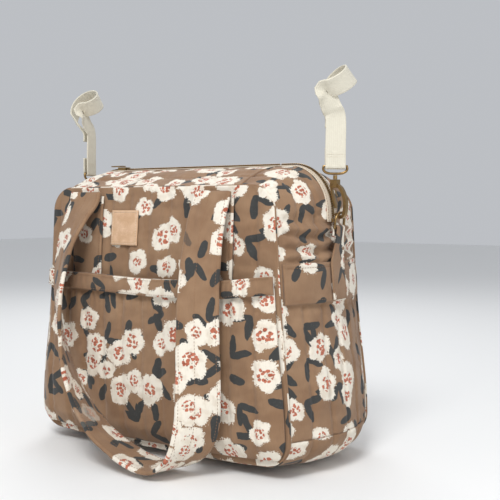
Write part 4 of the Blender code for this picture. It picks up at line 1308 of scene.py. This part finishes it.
def strapPath(side, sign):
    across, away, base = strapFrame(side, sign)
    fold = metal["radius"] + bag["gap"] + strap["thickness"] / 2
    push = Vector((sign * strap["push"][0], *strap["push"][1:])).normalized()
    if push.dot(across) < 0:
        push = -push
    front = push.cross(Vector((0, 0, 1))).normalized()
    if front.dot(away) > 0:
        front = -front
    upward = front.cross(push).normalized()
    if upward.z < 0:
        upward = -upward
    keys = [(base + away * fold + Vector((0, 0, strap["tail"])), across),
            (base + away * fold + Vector((0, 0, strap["tail"] / 2)), across)]
    for angle in spread(0, math.pi, 8):
        keys.append((base + away * fold * math.cos(angle) - Vector((0, 0, fold * math.sin(angle))), across))
    keys.append((base - away * fold + Vector((0, 0, strap["tail"])), across))
    neck = base + Vector((0, 0, strap["length"]))
    centre = neck + Vector((0, 0, strap["bar"] + strap["rise"])) + away * strap["setback"]
    wrap = strap["bar"] + strap["thickness"]
    loop = []
    for angle in spread(strap["start"], strap["end"], 15):
        turn = math.radians(angle)
        share = (angle - strap["start"]) / (strap["end"] - strap["start"])
        slide = push * (strap["shift"] * (share - 0.45))
        loop.append(centre + front * wrap * math.cos(turn) + upward * wrap * math.sin(turn) + slide)
    frontNeck, backNeck = neck - away * fold, neck + away * fold
    keys.append((frontNeck, across))
    for share in (0.35, 0.7):
        keys.append((frontNeck.lerp(loop[0], share), across.lerp(push, share)))
    keys += [(p, push) for p in loop]
    for share in (0.35, 0.7):
        keys.append((loop[-1].lerp(backNeck, share), push.lerp(across, share)))
    keys.append((backNeck, across))
    keys.append((backNeck - Vector((0, 0, strap["tail"] / 2)), across))
    centres = pathThrough([c for c, _ in keys], 5)
    sides = pathThrough([s for _, s in keys], 5)
    return [(c, s.normalized()) for c, s in zip(centres, sides)]


def makeStraps():
    for side, sign in (("right", 1), ("left", -1)):
        stations = strapPath(side, sign)
        obj = bandPiece(side + "_woven_strap", stations, strap["width"], strap["thickness"], "webbing",
                        (0.0, 0.0), 20, 0.00015, 0.0)
        finished(obj, side + "_strap", "cream_webbing", side + "_strap")
        # the sewn end: two rows of stitches and a frayed edge
        across, away, base = strapFrame(side, sign)
        fold = metal["radius"] + bag["gap"] + strap["thickness"]
        rows = []
        for face in (-1, 1):
            for up in (0.0105, 0.0135):
                rows.append([base + away * face * (fold + 0.0001) + across * u + Vector((0, 0, up))
                             for u in spread(-0.0100, 0.0100, 10)])
        barsAlong(side + "_strap_stitches", rows, "strap", side + "_strap", "cream_webbing")
        fray = [[base + away * (fold - 0.0009) + across * u + Vector((0, 0, strap["tail"] - 0.0002))
                 for u in spread(-0.0112, 0.0112, 30)]]
        barsAlong(side + "_frayed_end", fray, "fray", side + "_strap", "cream_webbing")


makeStraps()
print("straps made")


lining = {"inset": 0.008, "depth": 0.081, "corner": 0.025, "low": 0.01735, "top": 0.3048, "cloth": 0.0009}


def straight(first, last, steps):
    # the points between two corners in plan
    return [(first[0] + (last[0] - first[0]) * t, first[1] + (last[1] - first[1]) * t)
            for t in spread(0, 1, steps)[1:-1]]


def liningLoop(z, inset, scale=1.0, shift=0.0):
    # the lining in plan; it puckers inwards, and stays flat behind its pocket
    halfX = panelHalf(z) - lining["inset"] - inset
    halfY = lining["depth"] - inset
    radius = lining["corner"]
    points = []
    for signX, signY, start in ((1, 1, 0), (-1, 1, 90), (-1, -1, 180), (1, -1, 270)):
        centreX, centreY = signX * (halfX - radius), signY * (halfY - radius)
        side = []
        for angle in spread(math.radians(start), math.radians(start + 90), 9):
            side.append((centreX + radius * math.cos(angle), centreY + radius * math.sin(angle)))
        if points:
            steps = 34 if abs(points[-1][0] - side[0][0]) > 0.1 else 16
            points += straight(points[-1], side[0], steps)
        points += side
    points += straight(points[-1], points[0], 16)
    loop = []
    for x, y in points:
        flat = smooth(y, 0.060, 0.075) * (1 - smooth(abs(x), 0.130, 0.150)) + (1 - smooth(z, 0.020, 0.035))
        pucker = max(0.0, 1 - flat) * (0.0010 + 0.0016 * wave(x, y, z, 30) + 0.0010 * wave(x, y, z, 75))
        share = 1 - max(0.0, pucker) / 0.08
        loop.append(Vector((x * scale * share, y * scale * share, z + shift)))
    return loop


def makeLining():
    cloth = lining["cloth"]
    loops = [liningLoop(lining["low"], 0.0, share) for share in (0.02, 0.35, 0.7)]
    levels = spread(lining["low"], lining["top"], 60)
    loops += [liningLoop(z, 0.0) for z in levels]
    loops += [liningLoop(z, cloth) for z in reversed(levels[1:])]
    loops += [liningLoop(lining["low"], cloth, share, cloth) for share in (1.0, 0.7, 0.35, 0.02)]
    count = len(loops[0])
    points = [p for loop in loops for p in loop]
    faces = []
    for i in range(len(loops) - 1):
        for j in range(count):
            k = (j + 1) % count
            faces.append((i * count + j, i * count + k, (i + 1) * count + k, (i + 1) * count + j))
    faces.append(tuple(reversed(range(count))))
    faces.append(tuple((len(loops) - 1) * count + j for j in range(count)))
    obj = addMesh("sewn_lining", points, faces, "lining")
    recalc(obj)
    finished(obj, "bag_shell", "lining_cotton", "lining")


innerPocket = {"half": 0.120, "low": 0.114, "top": 0.2339, "wall": 0.0789, "depth": 0.012}


def makeInnerPocket():
    rows, inside = [], []
    for z in spread(innerPocket["low"], innerPocket["top"], 30):
        row, back = [], []
        for x in spread(-innerPocket["half"], innerPocket["half"], 60):
            edge = min(1.0, (innerPocket["half"] - abs(x)) / 0.025)
            rise = min(1.0, (z - innerPocket["low"]) / 0.03)
            slack = math.sin(math.pi / 2 * rise) * math.sin(math.pi / 2 * edge)
            y = innerPocket["wall"] - innerPocket["depth"] * slack + 0.0006 * slack * wave(x, 1, z, 30)
            row.append(Vector((x, y, z)))
            back.append(Vector((x, y + lining["cloth"], z)))
        rows.append(row)
        inside.append(back)
    obj = shellPiece("sewn_inner_pocket", inside, rows, "lining")
    recalc(obj)
    finished(obj, "bag_shell", "lining_cotton", "inner_pocket")


makeLining()
makeInnerPocket()
print("lining made")


def makeRings():
    for side, sign in (("right", 1), ("left", -1)):
        straight = metal["height"] - metal["half"]
        outline = [(y, 0.0) for y in spread(-metal["half"] + 0.0006, metal["half"] - 0.0006, 10)]
        outline += [(metal["half"], z) for z in spread(0.0006, straight, 4)]
        for angle in spread(0, math.pi, 26)[1:]:
            outline.append((metal["half"] * math.cos(angle), straight + metal["half"] * math.sin(angle)))
        outline += [(-metal["half"], z) for z in spread(straight, 0.0006, 4)[1:]]
        lean = metal["lean"] / metal["height"]
        points = [(sign * (metal["barX"] + lean * z), y, metal["barZ"] + z) for y, z in outline]
        ring = tubePiece(side + "_forged_d_ring", points, metal["radius"], "brass")
        finished(ring, side + "_ring", "antique_brass", side + "_d_ring")
        across, _, base = strapFrame(side, sign)
        rise = base.z - metal["strapRingLow"]
        half = metal["strapRingHalf"] - metal["radius"]
        loop = [(u, rise) for u in spread(half - 0.0004, -half + 0.0004, 12)]
        for angle in spread(math.pi, 2 * math.pi, 30):
            out = math.copysign(abs(math.cos(angle)) ** 0.6, math.cos(angle))
            loop.append((half * out, rise * metal["strapRingSide"] * (1 + math.sin(angle))))
        points = [base + across * u + Vector((0, 0, up - rise)) for u, up in loop]
        ring = tubePiece(side + "_forged_strap_ring", points, metal["radius"], "bright")
        finished(ring, side + "_swivel", "antique_brass", side + "_strap_ring")


makeRings()


def paint(node, look):
    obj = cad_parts[node]
    obj.data.materials.clear()
    obj.data.materials.append(looks[look])


def roundEdges(node, width):
    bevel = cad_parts[node].modifiers.new("edges", "BEVEL")
    bevel.width = width
    bevel.segments = 2
    bevel.limit_method = "ANGLE"
    bevel.angle_limit = math.radians(35)


paint("base_board", "board")
# the small parts get the lighter brass copy: painted highlight
for node in ("left_zip_stop", "right_zip_stop", "zip_slider", "zip_pull"):
    paint(node, "bright")
    roundEdges(node, 0.0003)
for side in ("left", "right"):
    for part in ("hook_body", "hook_pin", "gate_spring", "hook_gate"):
        paint(side + "_" + part, "brass")
    paint(side + "_swivel_stud", "bright")
print("hardware made")


view = {"place": (0.6885, -0.8921, 0.2860), "down": 2.7172, "yaw": 34.4856, "lens": 63.97}


# each lamp's name, place, power and size
lamps = (("key", (0.55, -1.35, 1.75), 30.0, 0.7), ("fill", (1.9, -0.5, 0.9), 6.0, 1.2),
         ("back", (-0.9, 1.1, 1.5), 10.0, 1.0))


def makeStage():
    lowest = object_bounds()[0].z
    mesh = bpy.data.meshes.new("floor")
    reach = 6.0
    mesh.from_pydata([(-reach, -reach, lowest - 0.001), (reach, -reach, lowest - 0.001),
                      (reach, reach, lowest - 0.001), (-reach, reach, lowest - 0.001)], [], [(0, 1, 2, 3)])
    floor = bpy.data.objects.new("floor", mesh)
    bpy.context.scene.collection.objects.link(floor)
    pale = Look("pale_floor", Roughness=0.8)
    pale.set("Base Color", (0.86, 0.86, 0.85, 1.0))
    mesh.materials.append(pale.material)
    world = bpy.data.worlds.new("studio")
    world.use_nodes = True
    world.node_tree.nodes["Background"].inputs[0].default_value = (0.92, 0.95, 1.0, 1.0)
    world.node_tree.nodes["Background"].inputs[1].default_value = 0.55
    bpy.context.scene.world = world
    for name, place, power, size in lamps:
        lamp = bpy.data.lights.new(name, "AREA")
        lamp.energy = power
        lamp.size = size
        obj = bpy.data.objects.new(name, lamp)
        obj.location = place
        obj.rotation_euler = (Vector((0, 0, 0.18)) - Vector(place)).to_track_quat("-Z", "Y").to_euler()
        bpy.context.scene.collection.objects.link(obj)


makeStage()
camera = bpy.data.cameras.new("camera")
camera.lens = view["lens"]
camera.sensor_width = 36
eye = bpy.data.objects.new("camera", camera)
eye.location = view["place"]
eye.rotation_euler = (math.radians(90 - view["down"]), 0.0, math.radians(view["yaw"]))
bpy.context.scene.collection.objects.link(eye)
bpy.context.scene.camera = eye
bpy.context.scene.view_settings.view_transform = "Standard"
